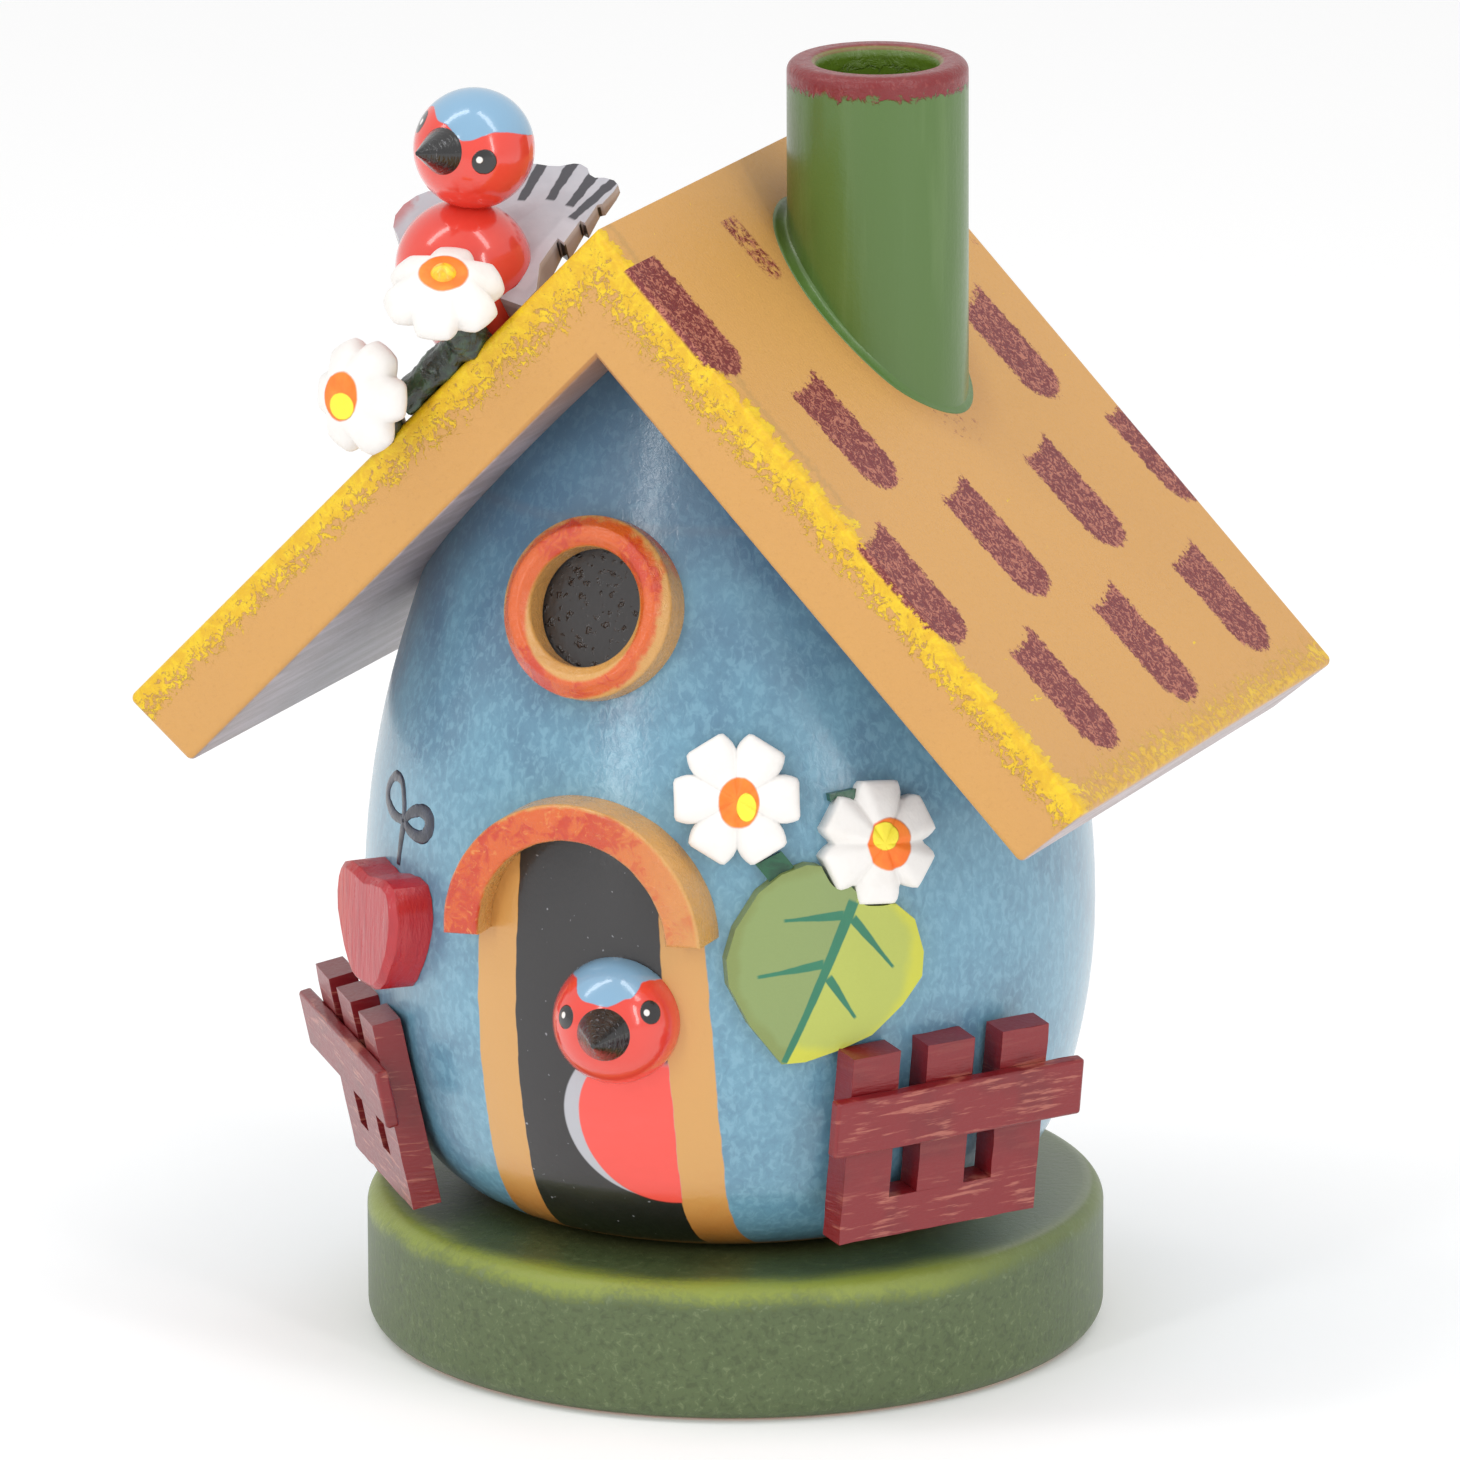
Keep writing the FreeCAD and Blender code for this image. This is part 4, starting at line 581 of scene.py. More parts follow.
def wing_paint():
    """Grey wings with dark bars on the tail and dark lines between the feathers' sides."""
    p = Paint("wing_grey_barred", GREY, coat=0.5, coat_roughness=0.15)
    head, _ = head_centre("roof_bird_head")
    root = head - BREAST_TO_HEAD + TAIL_ACROSS * 1.8 + Vector((0.0, 0.0, 0.4))
    u, v, n = (p.along(root, way) for way in (TAIL_ACROSS, TAIL_ALONG, TAIL_FACE))
    cloud = p.noise(3.0, detail=3.0, seed=1.0)
    wobble = (p.noise(1.5, detail=2.0, seed=2.0) - 0.5) * 0.5
    p.layer(p.ramp(cloud, 0.4, 0.7) * 0.3, tint(208, 208, 214))
    # painted shade: the wings' side faces, below the top face, in a dimmer grey
    p.layer(p.ramp(n, -0.5, -1.0) * 0.5, tint(142, 132, 136))
    top = p.ramp(n, -0.5, -0.25)
    for start, end in TAIL_BARS:
        p.layer(p.stroke(u, v, start, end, 1.0, 1.35, wobble) * top, BAR)
    for notch in (13.3, 10.3, 7.0):
        gap = p.inside(v, notch - 0.17, notch + 0.17, 0.05)
        p.layer(gap * p.ramp(u, 5.2, 5.4) * (1.0 - top), tint(24, 22, 26))
    p.layer(p.inside(u, 4.2, 7.0, 0.3) * p.inside(v, -1.0, 10.0, 0.5) * top * 0.35, tint(222, 222, 228))
    smear = p.ramp(u + cloud * 2.0, -10.4, -12.0)
    p.layer(smear * p.ramp(cloud, 0.42, 0.55) * 0.7, tint(186, 78, 74))
    return p.finish(cloud * 0.15 + 0.25, cloud * 0.8, 0.00012)


def heart_paint():
    p = Paint("heart_crimson_grained", tint(180, 34, 44), coat=0.45, coat_roughness=0.14)
    grain = p.noise(1.1, detail=5.0, rough=0.65, stretch=(1.0, 1.0, 0.16), seed=1.0)
    cloud = p.noise(5.0, detail=2.0, seed=2.0)
    centre, normal, across, _ = face_frame("heart")
    u, n = p.along(centre, across), p.along(centre, normal)
    p.layer(p.ramp(u + cloud * 3.0, 1.0, -5.0) * 0.5, tint(206, 80, 60))
    p.layer(p.ramp(grain, 0.5, 0.66) * 0.45, tint(152, 20, 36))
    p.layer(p.ramp(n, -0.5, -1.1) * 0.6, tint(190, 20, 30))
    return p.finish(grain * 0.2 + 0.2, grain * 1.3 + cloud * 0.5, 0.00014)


LEAF_TURN, LEAF_MIDDLE, LEAF_HALF_WIDTH, LEAF_HALF_LENGTH = 39.5, 51.0, 10.9, 11.0
LEAF_SLANT = (0.91, -0.41, 0.4)
LEAF_VEINS = [
    ((3.0, 6.4), (-4.7, -10.8), 1.2, 0.7),
    ((1.9, 5.0), (-4.6, 4.8), 1.0, 0.35),
    ((-0.4, -0.1), (-7.5, -1.2), 1.0, 0.35),
    ((2.8, 4.6), (7.3, -1.2), 1.0, 0.35),
    ((0.0, -1.6), (3.0, -6.3), 1.0, 0.35),
]


def leaf_paint():
    """Olive left half, lime right half with a yellow edge, and dark tapering veins."""
    p = Paint("leaf_two_greens", LEAF_OLIVE, coat=0.3, coat_roughness=0.3)
    turn = math.radians(LEAF_TURN)
    u = p.along((AXIS_X, 0.0, 0.0), (math.cos(turn), math.sin(turn), 0.0))
    v = p.z - LEAF_MIDDLE
    cloud = p.noise(5.0, detail=3.0, seed=1.0)
    fine = p.noise(0.5, detail=3.0, seed=2.0)
    wobble = (p.noise(2.0, detail=2.0, seed=3.0) - 0.5) * 0.4
    split = u * LEAF_SLANT[0] + v * LEAF_SLANT[1] - LEAF_SLANT[2]
    right = p.ramp(split + wobble, -0.15, 0.15)
    p.layer(right, LEAF_LIME)
    rim = p.span(u / LEAF_HALF_WIDTH, v / LEAF_HALF_LENGTH) + (cloud - 0.5) * 0.25
    p.layer(right * p.ramp(rim, 0.78, 0.92) * 0.75, LEAF_EDGE)
    p.layer((1.0 - right) * p.ramp(rim, 0.86, 0.96) * 0.4, tint(120, 126, 50))
    vein = p.mix(cloud, VEIN, tint(46, 130, 96))
    for start, end, wide, thin in LEAF_VEINS:
        p.layer(p.stroke(u, v, start, end, wide, thin, wobble * 0.4), vein)
    return p.finish(fine * 0.15 + 0.33, cloud * 0.9 + fine * 0.3, 0.00014)


def petal_paint(name, node, dots):
    """White petals with painted dots, each (u, v, half width, half height, pair of colours)."""
    p = Paint(name, WHITE, coat=0.15, coat_roughness=0.4)
    centre, normal, across, upward = face_frame(node, 1 if node.startswith("roof") else 0)
    u, v, n = (p.along(centre, way) for way in (across, upward, normal))
    cloud = p.noise(3.0, detail=3.0, seed=1.0)
    fine = p.noise(0.5, detail=3.0, seed=2.0)
    p.layer(p.ramp(cloud, 0.45, 0.75) * 0.3, tint(232, 226, 218))
    # painted shade: petals greyer towards their back, where they meet the part they sit on
    p.layer(p.ramp(n, -1.4, -3.4) * 0.12, tint(206, 198, 188))
    wobble = (p.noise(1.4, detail=2.0, seed=3.0) - 0.5) * 0.1
    raised = 0.0
    for du, dv, wide, high, colours in dots:
        mask = p.oval(u, v, (du, dv), (wide, high), 0.05, wobble) * p.ramp(n, -1.6, -1.2)
        p.layer(mask, p.mix(p.ramp(cloud, 0.3, 0.8), *colours))
        raised = mask + raised
    return p.finish(fine * 0.15 + 0.42, cloud * 1.2 + fine * 0.2 + raised * 0.8, 0.00013)


def fence_paint():
    """Dark red, with a painted pale sheen along the grain of the rail and the lower board."""
    p = Paint("fence_red_brushed", FENCE, coat=0.35, coat_roughness=0.22)
    along_grain = p.noise(0.6, detail=4.0, rough=0.65, stretch=(0.1, 0.1, 1.0), twist=0.2, seed=1.0)
    patch = p.noise(6.0, detail=2.0, seed=2.0)
    fine = p.noise(0.5, detail=3.0, seed=3.0)
    p.layer(p.ramp(patch, 0.45, 0.75) * 0.5, FENCE_DARK)
    low = p.either(p.ramp(p.z, 26.0, 24.0), p.inside(p.z, 30.0, 37.0, 0.4))
    # painted highlight: pale sheen along the grain, strongest on the rail and the lower board
    p.layer(p.ramp(along_grain + patch * 0.35, 0.70, 0.84) * (low * 0.6 + 0.08), FENCE_SHEEN)
    return p.finish(fine * 0.2 + 0.3, along_grain * 0.7 + patch * 0.5 + fine * 0.3, 0.00014)


def plain_paint(name, colour, other, size, coat=0.4, rough=0.25, depth=0.0001):
    """Two shades of one colour in soft patches, with brush marks."""
    p = Paint(name, colour, coat=coat, coat_roughness=0.2)
    cloud = p.noise(size, detail=4.0, rough=0.6, twist=0.8)
    fine = p.noise(0.4, detail=2.0, seed=1.0)
    p.layer(p.ramp(cloud, 0.42, 0.66), other)
    return p.finish(fine * 0.15 + rough, cloud * 1.2 + fine * 0.3, depth)


def metal(name, colour, rings):
    """Turned metal with fine rings about the base's axis, rings radians to the mm."""
    p = Paint(name, colour, coat=0.0, metallic=1.0)
    turned = p.math("SINE", p.span(p.x, p.y) * rings)
    cloud = p.noise(4.0, detail=4.0)
    p.layer(p.ramp(cloud, 0.5, 0.8) * 0.6, tint(120, 92, 52))
    return p.finish(cloud * 0.2 + 0.25, turned * 0.15 + cloud * 0.4, 0.00006)


# ---------------------------------------------------------------- reading CAD faces


def face_frame(node, prefer=0):
    """Centre, outward normal, rightward and upward ways of a node's large flat face that looks out."""
    groups = {}
    for face in frame["nodes"][node].data.polygons:
        key = tuple(round(c, 2) for c in face.normal)
        group = groups.setdefault(key, [0.0, Vector(), Vector()])
        group[0] += face.area
        group[1] += Vector(face.center) * face.area
        group[2] += Vector(face.normal) * face.area
    ranked = sorted(groups.values(), key=lambda g: -g[0])
    area, centre, normal = ranked[prefer]
    normal = normal.normalized()
    across = Vector((0, 0, 1)).cross(normal).normalized()
    return centre / area / MM, normal, across, normal.cross(across)


# ---------------------------------------------------------------- mesh kit


def link_object(name, data):
    thing = bpy.data.objects.new(name, data)
    bpy.context.scene.collection.objects.link(thing)
    return thing


def piece_from(work, name, material, node, replace=True):
    """Turn a work mesh into a piece that rides with the CAD node and may stand for it."""
    mesh = bpy.data.meshes.new(name)
    work.to_mesh(mesh)
    work.free()
    mesh.materials.append(material)
    for face in mesh.polygons:
        face.use_smooth = True
    piece = link_object(name, mesh)
    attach(piece, BODY_OF[node])
    if replace:
        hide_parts(node)
    return piece


def make_piece(name, verts, faces, material, node, replace=True):
    """A piece from corners in millimetres and faces, which are turned to look outwards."""
    raw = bpy.data.meshes.new(name + "_raw")
    raw.from_pydata([Vector(v) * MM for v in verts], [], faces)
    raw.validate()
    work = bmesh.new()
    work.from_mesh(raw)
    bpy.data.meshes.remove(raw)
    bmesh.ops.recalc_face_normals(work, faces=work.faces)
    return piece_from(work, name, material, node, replace)


def merged_copy(node):
    """The CAD node's mesh with its shared corners joined."""
    work = bmesh.new()
    work.from_mesh(frame["nodes"][node].data)
    bmesh.ops.remove_doubles(work, verts=work.verts, dist=0.003 * MM)
    return work


def worn_copy(node, material, width, chips=0.0, subdivide=0.0, segments=3):
    """The node's own shape with its flat faces whole, its edges rounded and slightly uneven."""
    work = merged_copy(node)
    bmesh.ops.dissolve_limit(work, angle_limit=math.radians(1.0), verts=work.verts, edges=work.edges)
    if subdivide:
        step = subdivide * MM
        sharp = [e for e in work.edges if e.calc_length() > 2 * step and len(e.link_faces) == 2
                 and e.calc_face_angle(0.0) > math.radians(25)]
        for edge in sharp:
            bmesh.ops.subdivide_edges(work, edges=[edge], cuts=min(int(edge.calc_length() / step), 24))
    for vert in work.verts:
        vert.co += noise.noise_vector(vert.co / MM * 0.6) * chips * MM
    piece = piece_from(work, node + "_worn", material, node)
    edge = piece.modifiers.new("Edge", "BEVEL")
    edge.width = width * MM
    edge.segments = segments
    edge.limit_method = "ANGLE"
    edge.angle_limit = math.radians(28)
    edge.use_clamp_overlap = True
    piece.data.set_sharp_from_angle(angle=math.radians(40))


def lumpy_copy(node, material, size, depth):
    """The node's shape with an uneven, hand-formed surface."""
    piece = piece_from(merged_copy(node), node + "_formed", material, node)
    remesh = piece.modifiers.new("Even", "REMESH")
    remesh.mode = "VOXEL"
    remesh.voxel_size = 0.28 * MM
    remesh.use_smooth_shade = True
    lumps = bpy.data.textures.new(node + "_lumps", "CLOUDS")
    lumps.noise_scale = size * MM
    push = piece.modifiers.new("Lumps", "DISPLACE")
    push.texture = lumps
    push.texture_coords = "LOCAL"
    push.strength = depth * MM


def polar_piece(name, node, material, face, rings, turns=96):
    """Closed surface from rings of (reach(angle), height(angle)) about a face's normal."""
    centre, normal, across, upward = face
    place = Matrix((across, upward, normal)).transposed().to_4x4()
    place.translation = centre
    verts, faces = [], []
    for reach, height in rings:
        for i in range(turns):
            angle = 2.0 * math.pi * i / turns
            r = reach(angle)
            verts.append(place @ Vector((r * math.cos(angle), r * math.sin(angle), height(angle))))
    for ring in range(len(rings) - 1):
        for i in range(turns):
            j = (i + 1) % turns
            a, b = ring * turns, (ring + 1) * turns
            faces.append((a + i, a + j, b + j, b + i))
    for ring in (0, len(rings) - 1):
        first = ring * turns
        verts.append(sum(verts[first:first + turns], Vector()) / turns)
        for i in range(turns):
            faces.append((first + (i + 1) % turns, first + i, len(verts) - 1))
    make_piece(name, verts, faces, material, node)


def petal_phase(angle, spin):
    """0 at a petal's middle, 0.5 in the notch beside it, 1 at the next petal's middle."""
    return ((angle - spin) * 3.0 / math.pi) % 1.0


def petal_share(angle, spin, gap=0.42):
    """1 across each of six petals, falling straight to 0 in the narrow notches between them."""
    from_notch = abs(petal_phase(angle, spin) - 0.5) * 2.0
    return min(1.0, from_notch / gap) ** 0.8


def square_end(angle, spin):
    """Reach of a petal whose end is cut nearly straight."""
    offset = ((petal_phase(angle, spin) + 0.5) % 1.0 - 0.5) * math.pi / 3.0
    return min(1.0, 0.95 / math.cos(offset))


def uneven(angle, seed):
    return 1.0 - 0.02 * (1.0 + math.sin(2.0 * angle + seed))


def flower_extent(node, centre, normal):
    """How far a flower reaches from its axis, and how deep it goes behind its face."""
    offsets = [v.co / MM - centre for v in frame["nodes"][node].data.vertices]
    reach = max((o - normal * o.dot(normal)).length for o in offsets)
    return reach, -min(o.dot(normal) for o in offsets)


def wall_flower(node, material, dome, spin, seed):
    """Chunky petals with rounded edges and soft folds between them."""
    face = face_frame(node)
    reach_out, _ = flower_extent(node, *face[:2])
    petal_thick = 3.0

    def reach(share):
        def at(angle):
            lobe = 0.73 + 0.27 * petal_share(angle, spin)
            return share * reach_out * lobe * square_end(angle, spin) * uneven(angle, seed)
        return at

    def height(share, drop):
        def at(angle):
            fold = (1.0 - petal_share(angle, spin, 0.6)) * share * 0.8
            wave = 0.18 * math.sin(2.0 * angle + seed) * share
            return -dome * share * share - fold - drop + wave
        return at

    rings = [(reach(s), height(s, 0.0)) for s in (0.12, 0.3, 0.5, 0.66, 0.8)]
    rings += [(reach(0.8 + 0.2 * math.sin(a)), height(0.9, 0.75 * (1.0 - math.cos(a))))
              for a in (0.35, 0.75, 1.15, 1.5708)]
    rings += [(reach(1.0), height(0.9, 1.3)), (reach(0.97), height(0.9, petal_thick + dome))]
    polar_piece(node + "_petals", node, material, face, rings)


def roof_flower(node, material, seed, spin):
    """A turned bead with six lobes, deeply notched at the rim."""
    face = face_frame(node, 1)
    reach_out, deep = flower_extent(node, *face[:2])
    eye = 2.6

    def lobe(size, notch):
        def at(angle):
            petal = petal_share(angle, spin, 0.5)
            return size * (1.0 - notch * 1.35 * (1.0 - petal)) * uneven(angle, seed)
        return at

    def level(depth, fold):
        def at(angle):
            return -depth - fold * 2.2 * (1.0 - petal_share(angle, spin, 0.6))
        return at

    profile = [(0.5 * eye, 0.0, 0.0), (eye * 0.96, 0.0, 0.0), (eye * 1.04, 0.08, 0.0)]
    for share in (0.2, 0.45, 0.7, 0.9):
        size = eye + (reach_out - eye) * share
        profile.append((size, (deep - 1.6) * share ** 1.25, 0.16 * share))
    for share, above_back, notch in ((0.985, 1.25, 0.19), (1.0, 0.8, 0.2), (0.97, 0.3, 0.22),
                                     (0.86, 0.0, 0.2), (0.4, 0.0, 0.05)):
        profile.append((reach_out * share, deep - above_back, notch))
    rings = [(lobe(size, notch), level(depth, notch)) for size, depth, notch in profile]
    polar_piece(node + "_bead", node, material, face, rings)


WALL_TREE = BVHTree.FromObject(frame["nodes"]["egg_shell"], bpy.context.evaluated_depsgraph_get())


def on_wall(turn, height, lift=0.0):
    """Point on the wall at degrees from -Y towards +X, and the wall's outward normal there."""
    way = Vector((math.sin(math.radians(turn)), -math.cos(math.radians(turn)), 0.0))
    start = Vector((AXIS_X, 0.0, height)) + way * 90.0
    spot, normal, _, _ = WALL_TREE.ray_cast(start * MM, -way)
    return spot / MM + normal * lift, normal


def smooth_line(points, steps=8):
    """Points along a smooth curve through the given ones."""
    ends = [points[0] * 2.0 - points[1]] + points + [points[-1] * 2.0 - points[-2]]
    line = []
    for a, b, c, d in zip(ends, ends[1:], ends[2:], ends[3:]):
        for i in range(steps):
            t = i / steps
            line.append(0.5 * (2.0 * b + (c - a) * t + (2.0 * a - 5.0 * b + 4.0 * c - d) * t * t
                               + (3.0 * b - a - 3.0 * c + d) * t ** 3))
    return line + [points[-1]]


def blend(values, share):
    """The value at a share of the way along a list of evenly spaced ones."""
    place = share * (len(values) - 1)
    low = min(int(place), len(values) - 2)
    return values[low] + (values[low + 1] - values[low]) * (place - low)


def painted_line(name, points, widths, material, node):
    """A low rounded ridge of paint on the wall, through (turn, height) points."""
    spots = [on_wall(turn, height) for turn, height in smooth_line([Vector(point) for point in points])]
    last, steps = len(spots) - 1, 5
    verts, faces = [], []
    for i, (spot, normal) in enumerate(spots):
        ahead = spots[min(i + 1, last)][0] - spots[max(i - 1, 0)][0]
        side = normal.cross(ahead).normalized()
        width = blend(widths, i / last) * (1.0 + 0.18 * noise.noise(Vector((i * 0.37, 3.1, 0.0))))
        for j in range(steps + 1):
            angle = math.pi * j / steps
            rise = 0.14 * math.sin(angle) - 0.02
            verts.append(spot + side * (width / 2.0 * math.cos(angle)) + normal * rise)
    row = steps + 1
    for i in range(last):
        near, far = i * row, (i + 1) * row
        for j in range(steps):
            faces.append((near + j, near + j + 1, far + j + 1, far + j))
        faces.append((near + steps, near, far, far + steps))
    faces.append(tuple(range(row)))
    faces.append(tuple(range(last * row + steps, last * row - 1, -1)))
    make_piece(name, verts, faces, material, node, replace=False)


def chimney_fillet(material):
    """Paint pooled round the chimney's foot, wider down the slope and to the left."""
    turns, steps, sink = 72, 6, 0.03
    row = steps + 1
    verts, faces = [], []
    for i in range(turns):
        angle = 2.0 * math.pi * i / turns
        way = Vector((math.cos(angle), math.sin(angle), 0.0))
        left = 0.5 - 0.5 * math.sin(angle + 0.6)
        width = 0.4 + 1.3 * left ** 2 + 0.2 * noise.noise(way * 2.0 + Vector((0.0, 0.0, 0.5)))
        for j in range(row):
            bend = math.pi / 2.0 * j / steps
            out = width * (1.0 - math.sin(bend))
            high = width * 0.55 * (1.0 - math.cos(bend))
            spot = Vector((CHIMNEY_X, CHIMNEY_Y, 0.0)) + way * (CHIMNEY_RADIUS + out - sink)
            spot.z = RIDGE - spot.x * SLOPE_FALL / SLOPE_RUN + high + sink
            verts.append(spot)
    for i in range(turns):
        here, there = i * row, (i + 1) % turns * row
        for j in range(steps):
            faces.append((here + j, there + j, there + j + 1, here + j + 1))
    piece = make_piece("chimney_foot_paint", verts, faces, material, "chimney_tube", replace=False)
    thick = piece.modifiers.new("Body", "SOLIDIFY")
    thick.thickness = 0.12 * MM
    thick.offset = -1.0


# ---------------------------------------------------------------- pieces


def paint_node(node, material):
    """Give a CAD node's own mesh the material."""
    mesh = frame["nodes"][node].data
    mesh.materials.clear()
    mesh.materials.append(material)


def head_centre(node):
    low, high = box_mm(node)
    radius = (high.z - low.z) / 2.0
    return Vector(((low.x + high.x) / 2.0, low.y + radius, (low.z + high.z) / 2.0)), radius


def build_house():
    paint_node("egg_shell", wall_paint())
    paint_node("roof_board_right", roof_paint("roof_paint_right", 1))
    paint_node("roof_board_left", roof_paint("roof_paint_left", -1))
    green = chimney_paint()
    paint_node("chimney_tube", green)
    chimney_fillet(green)
    paint_node("window_ring", mottled_orange("ring_orange", ring_bare, 0.0, -0.06))
    worn_copy("door_arch", mottled_orange("arch_orange", arch_bare, 0.02, 0.02), 0.55, chips=0.05)


def build_base():
    paint_node("base_disc", base_paint())
    paint_node("incense_dish", metal("dish_brass_turned", tint(212, 176, 104), 5.0))
    paint_node("dish_nail", metal("nail_steel_turned", tint(176, 176, 178), 9.0))


def build_birds():
    black = beak_paint()
    centre, radius = head_centre("door_bird_head")
    door_cap = [(-180, 0.62), (-110, 0.70), (-45, 0.75), (-8, 0.50), (13, 0.46), (36, 0.56),
                (65, 0.76), (110, 0.70), (180, 0.62)]
    door_eyes = [((-0.480, -0.851, 0.213), 1.28, (-0.53, -0.82, 0.23)),
                 ((0.806, -0.481, 0.345), 1.28, (0.77, -0.545, 0.35))]
    paint_node("door_bird_head", head_paint("door_bird_coral", centre, radius, door_cap, door_eyes))
    paint_node("door_bird_beak", black)

    centre, radius = head_centre("roof_bird_head")
    roof_cap = [(-180, 0.2), (-110, 0.5), (-50, 0.74), (-10, 0.57), (16, 0.34), (50, 0.45),
                (113, 0.25), (150, 0.2), (180, 0.2)]
    roof_eyes = [((0.5815, -0.8136, -0.006), 1.35, (0.51, -0.85, 0.03)),
                 ((-0.733, -0.478, 0.483), 1.35, (-0.70, -0.52, 0.49))]
    paint_node("roof_bird_head", head_paint("roof_bird_coral_head", centre, radius, roof_cap, roof_eyes))
    paint_node("roof_bird_beak", black)
    paint_node("roof_bird_body", bird_body_paint())
    worn_copy("roof_bird_wings_and_tail", wing_paint(), 0.35, chips=0.12)


def build_flowers():
    front = petal_paint("petals_front", "wall_flower_front",
                        [(0.2, -0.3, 2.15, 2.7, DOT), (1.0, -0.8, 1.05, 1.5, DOT_YELLOW)])
    wall_flower("wall_flower_front", front, 0.15, 0.0, 1.0)
    side = petal_paint("petals_side", "wall_flower_side",
                       [(0.6, -0.1, 2.5, 2.8, DOT), (0.1, 0.8, 1.5, 1.5, DOT_YELLOW)])
    wall_flower("wall_flower_side", side, 1.0, math.radians(25), 2.0)
    upper = petal_paint("petals_roof_upper", "roof_flower_upper", [(0.0, 0.0, 2.6, 2.6, DOT)])
    roof_flower("roof_flower_upper", upper, 3.0, 0.35)
    lower = petal_paint("petals_roof_lower", "roof_flower_lower",
                        [(0.0, 0.0, 2.6, 2.6, DOT), (0.35, -1.0, 1.9, 1.4, DOT_YELLOW)])
    roof_flower("roof_flower_lower", lower, 5.0, 0.1)
    knob = plain_paint("knob_yellow", tint(255, 214, 40), tint(250, 176, 30), 1.6, coat=0.5)
    paint_node("roof_flower_knob", knob)
    stem = plain_paint("stem_green", STEM_GREEN, tint(20, 66, 46), 2.0)
    paint_node("wall_stems", stem)
    dark = plain_paint("roof_stem_dark", STEM_DARK, tint(44, 70, 46), 1.6, coat=0.6, depth=0.0002)
    lumpy_copy("roof_flower_stems", dark, 1.7, 0.8)


def build_trims():
    worn_copy("heart", heart_paint(), 0.7, chips=0.12, segments=4)
    paint_node("leaf", leaf_paint())
    red = fence_paint()
    for side in ("right", "left"):
        worn_copy(side + "_fence_panel", red, 0.3, chips=0.1, subdivide=2.0)
    for side in ("right", "left"):
        worn_copy(side + "_fence_rail", red, 0.3, chips=0.12, subdivide=2.5)
    build_bow(plain_paint("bow_navy", tint(24, 30, 48), tint(40, 48, 70), 1.5, coat=0.5))


def build_bow(navy):
    """The heart's painted string and bow, through (turn, height) points on the wall."""
    knot = (-39.3, 60.3)
    left = [(-43.4, 60.3), (-46.8, 61.2), (-47.4, 62.7), (-45.2, 64.2), (-42.0, 64.1), (-40.2, 62.4)]
    right = [(-37.2, 61.5), (-34.2, 62.2), (-31.8, 61.9), (-31.2, 60.7), (-33.0, 59.5), (-36.6, 59.5)]
    for name, points, widths in (
            ("bow_string", [(-39.9, 55.4), (-39.7, 58.0), knot], [0.9, 1.2, 1.4]),
            ("bow_loop_left", [knot] + left + [knot], [1.1, 1.5, 1.3, 1.1, 1.1]),
            ("bow_loop_right", [knot] + right + [knot], [1.1, 1.5, 2.0, 1.5, 1.1])):
        painted_line(name, points, widths, navy, "egg_shell")


# ---------------------------------------------------------------- stage, light and camera


def build_stage():
    """A pale floor of 12 by 12 squares, 6 m across, just under the base."""
    half, cuts, level = 3.0, 12, -0.00005
    row = cuts + 1
    steps = [half * (2.0 * i / cuts - 1.0) for i in range(row)]
    verts = [(x, y, level) for x in steps for y in steps]
    faces = [(a, a + row, a + row + 1, a + 1) for i in range(cuts) for a in range(i * row, i * row + cuts)]
    mesh = bpy.data.meshes.new("floor")
    mesh.from_pydata(verts, [], faces)
    p = Paint("floor_pale", tint(250, 250, 250), coat=0.0)
    p.layer(p.noise(40.0) * 0.1, tint(244, 244, 244))
    p.shader.inputs["Emission Color"].default_value = tint(255, 255, 255)
    p.shader.inputs["Emission Strength"].default_value = 0.1
    mesh.materials.append(p.finish(0.9))
    link_object("floor", mesh)


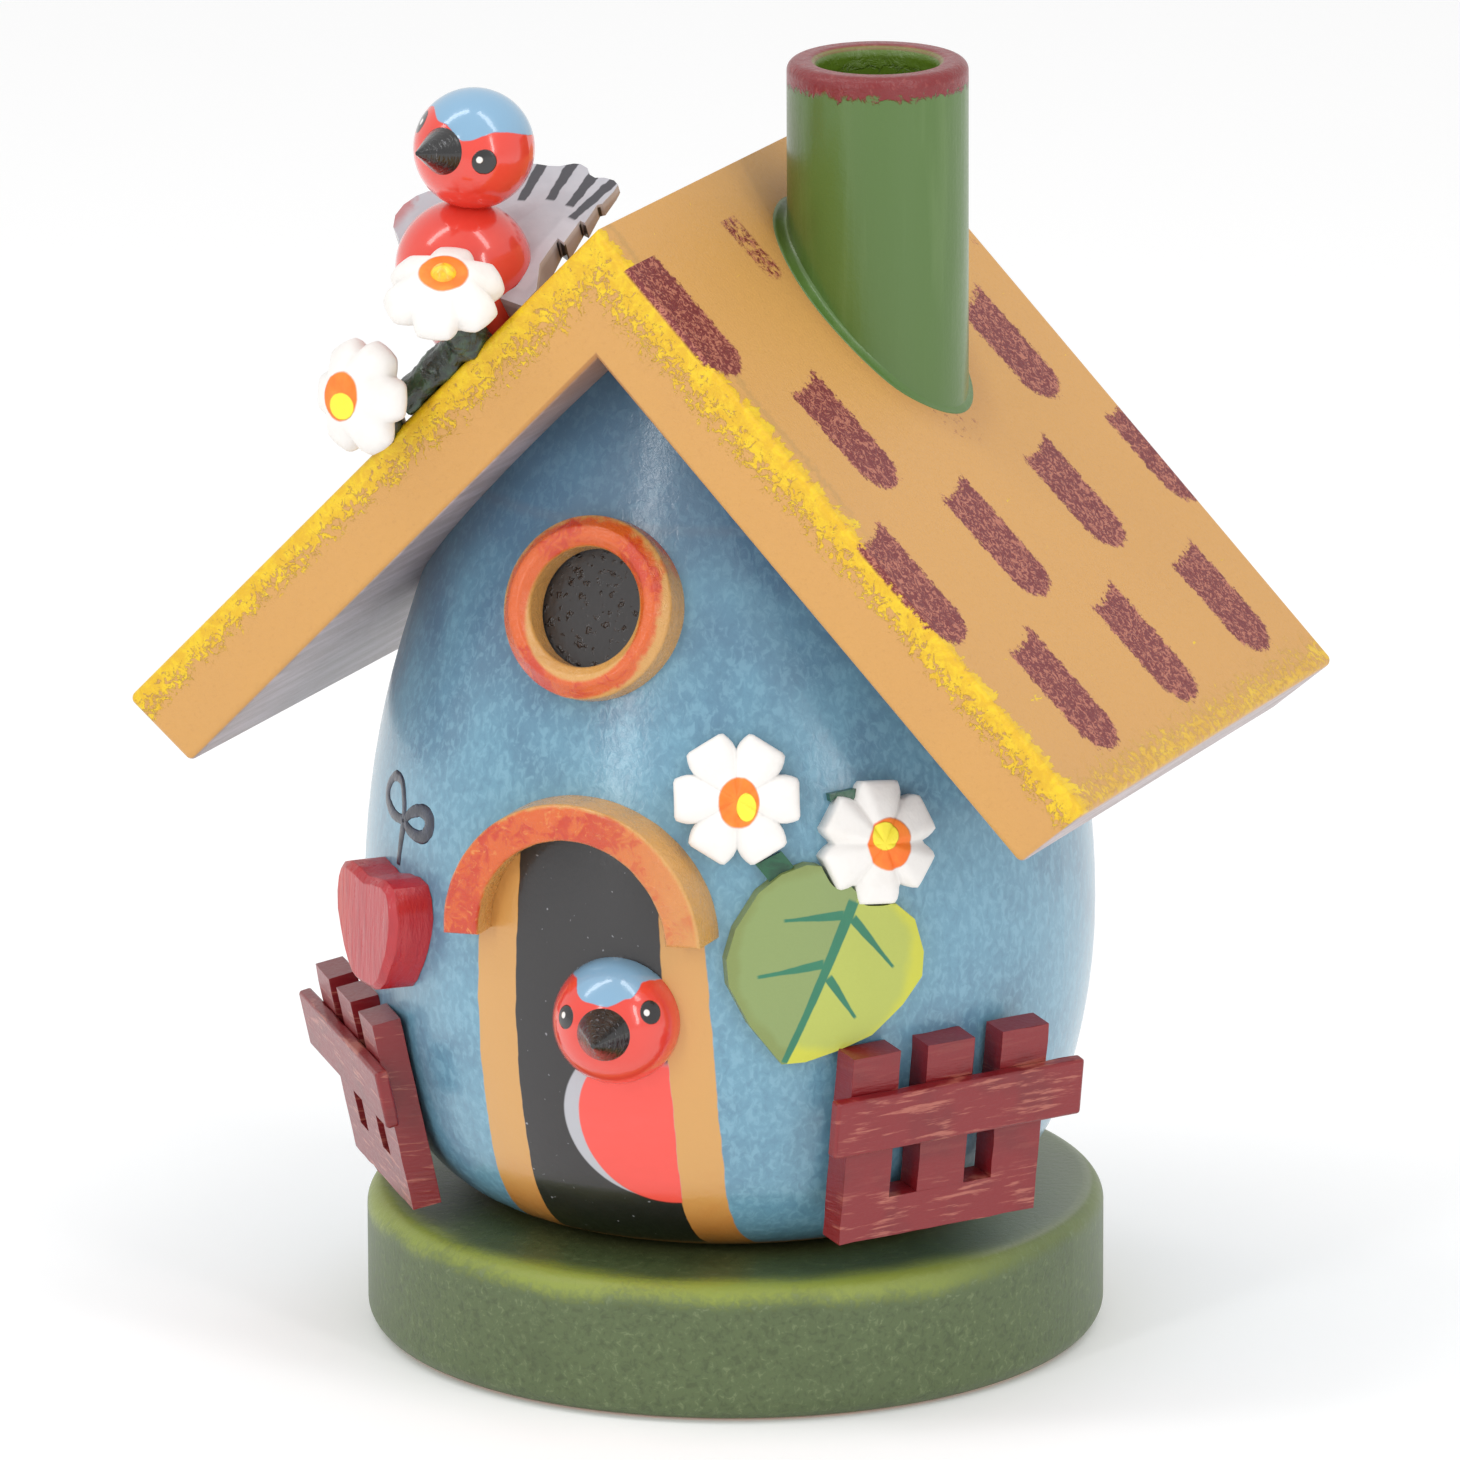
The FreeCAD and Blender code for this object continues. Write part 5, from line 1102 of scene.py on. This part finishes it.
def area_light(name, way, distance, size, power, target):
    data = bpy.data.lights.new(name, "AREA")
    data.shape = "RECTANGLE"
    data.size, data.size_y = size
    data.energy = power
    light = link_object(name, data)
    way = Vector(way).normalized()
    light.location = target + way * distance
    light.rotation_mode = "QUATERNION"
    light.rotation_quaternion = (-way).to_track_quat("-Z", "Y")


def build_light():
    scene = bpy.context.scene
    scene.view_settings.view_transform = "Standard"
    world = bpy.data.worlds.new("studio")
    world.use_nodes = True
    background = world.node_tree.nodes["Background"]
    background.inputs["Color"].default_value = (1.0, 1.0, 1.0, 1.0)
    background.inputs["Strength"].default_value = 0.80
    scene.world = world
    middle = Vector((0.0, 0.0, 0.07))
    area_light("box_left", (-0.42, -0.30, 0.86), 0.75, (0.10, 0.6), 1.0, middle)
    area_light("box_right", (0.45, -0.12, 0.87), 0.75, (0.10, 0.6), 0.9, middle)
    area_light("strip_left", (-0.18, -0.92, 0.34), 1.2, (0.09, 0.7), 1.9, middle)
    area_light("strip_right", (0.82, -0.46, 0.34), 1.2, (0.09, 0.7), 1.6, middle)


def build_camera():
    """The photograph's view: turned, tilted, rolled, and the base's axis slightly off centre."""
    azimuth, elevation, roll = (math.radians(a) for a in (25.01, 15.37, -0.23))
    distance, focal_pixels, image_side = 1.61664, 15000.0, 1460.0
    back = Vector((math.sin(azimuth) * math.cos(elevation), -math.cos(azimuth) * math.cos(elevation),
                   math.sin(elevation)))
    right = Vector((0, 0, 1)).cross(back).normalized()
    up = back.cross(right)
    target = right * -0.00039 + Vector((0, 0, 0.06564))
    right, up = (right * math.cos(roll) + up * math.sin(roll), up * math.cos(roll) - right * math.sin(roll))
    data = bpy.data.cameras.new("camera")
    data.sensor_width = 36.0
    data.lens = data.sensor_width * focal_pixels / image_side
    data.clip_start, data.clip_end = 0.05, 20.0
    camera = link_object("camera", data)
    camera.matrix_world = Matrix((right, up, back)).transposed().to_4x4()
    camera.location = target + back * distance
    bpy.context.scene.camera = camera


build_house()
build_base()
build_birds()
build_flowers()
build_trims()
build_stage()
build_light()
build_camera()

bpy.context.view_layer.update()
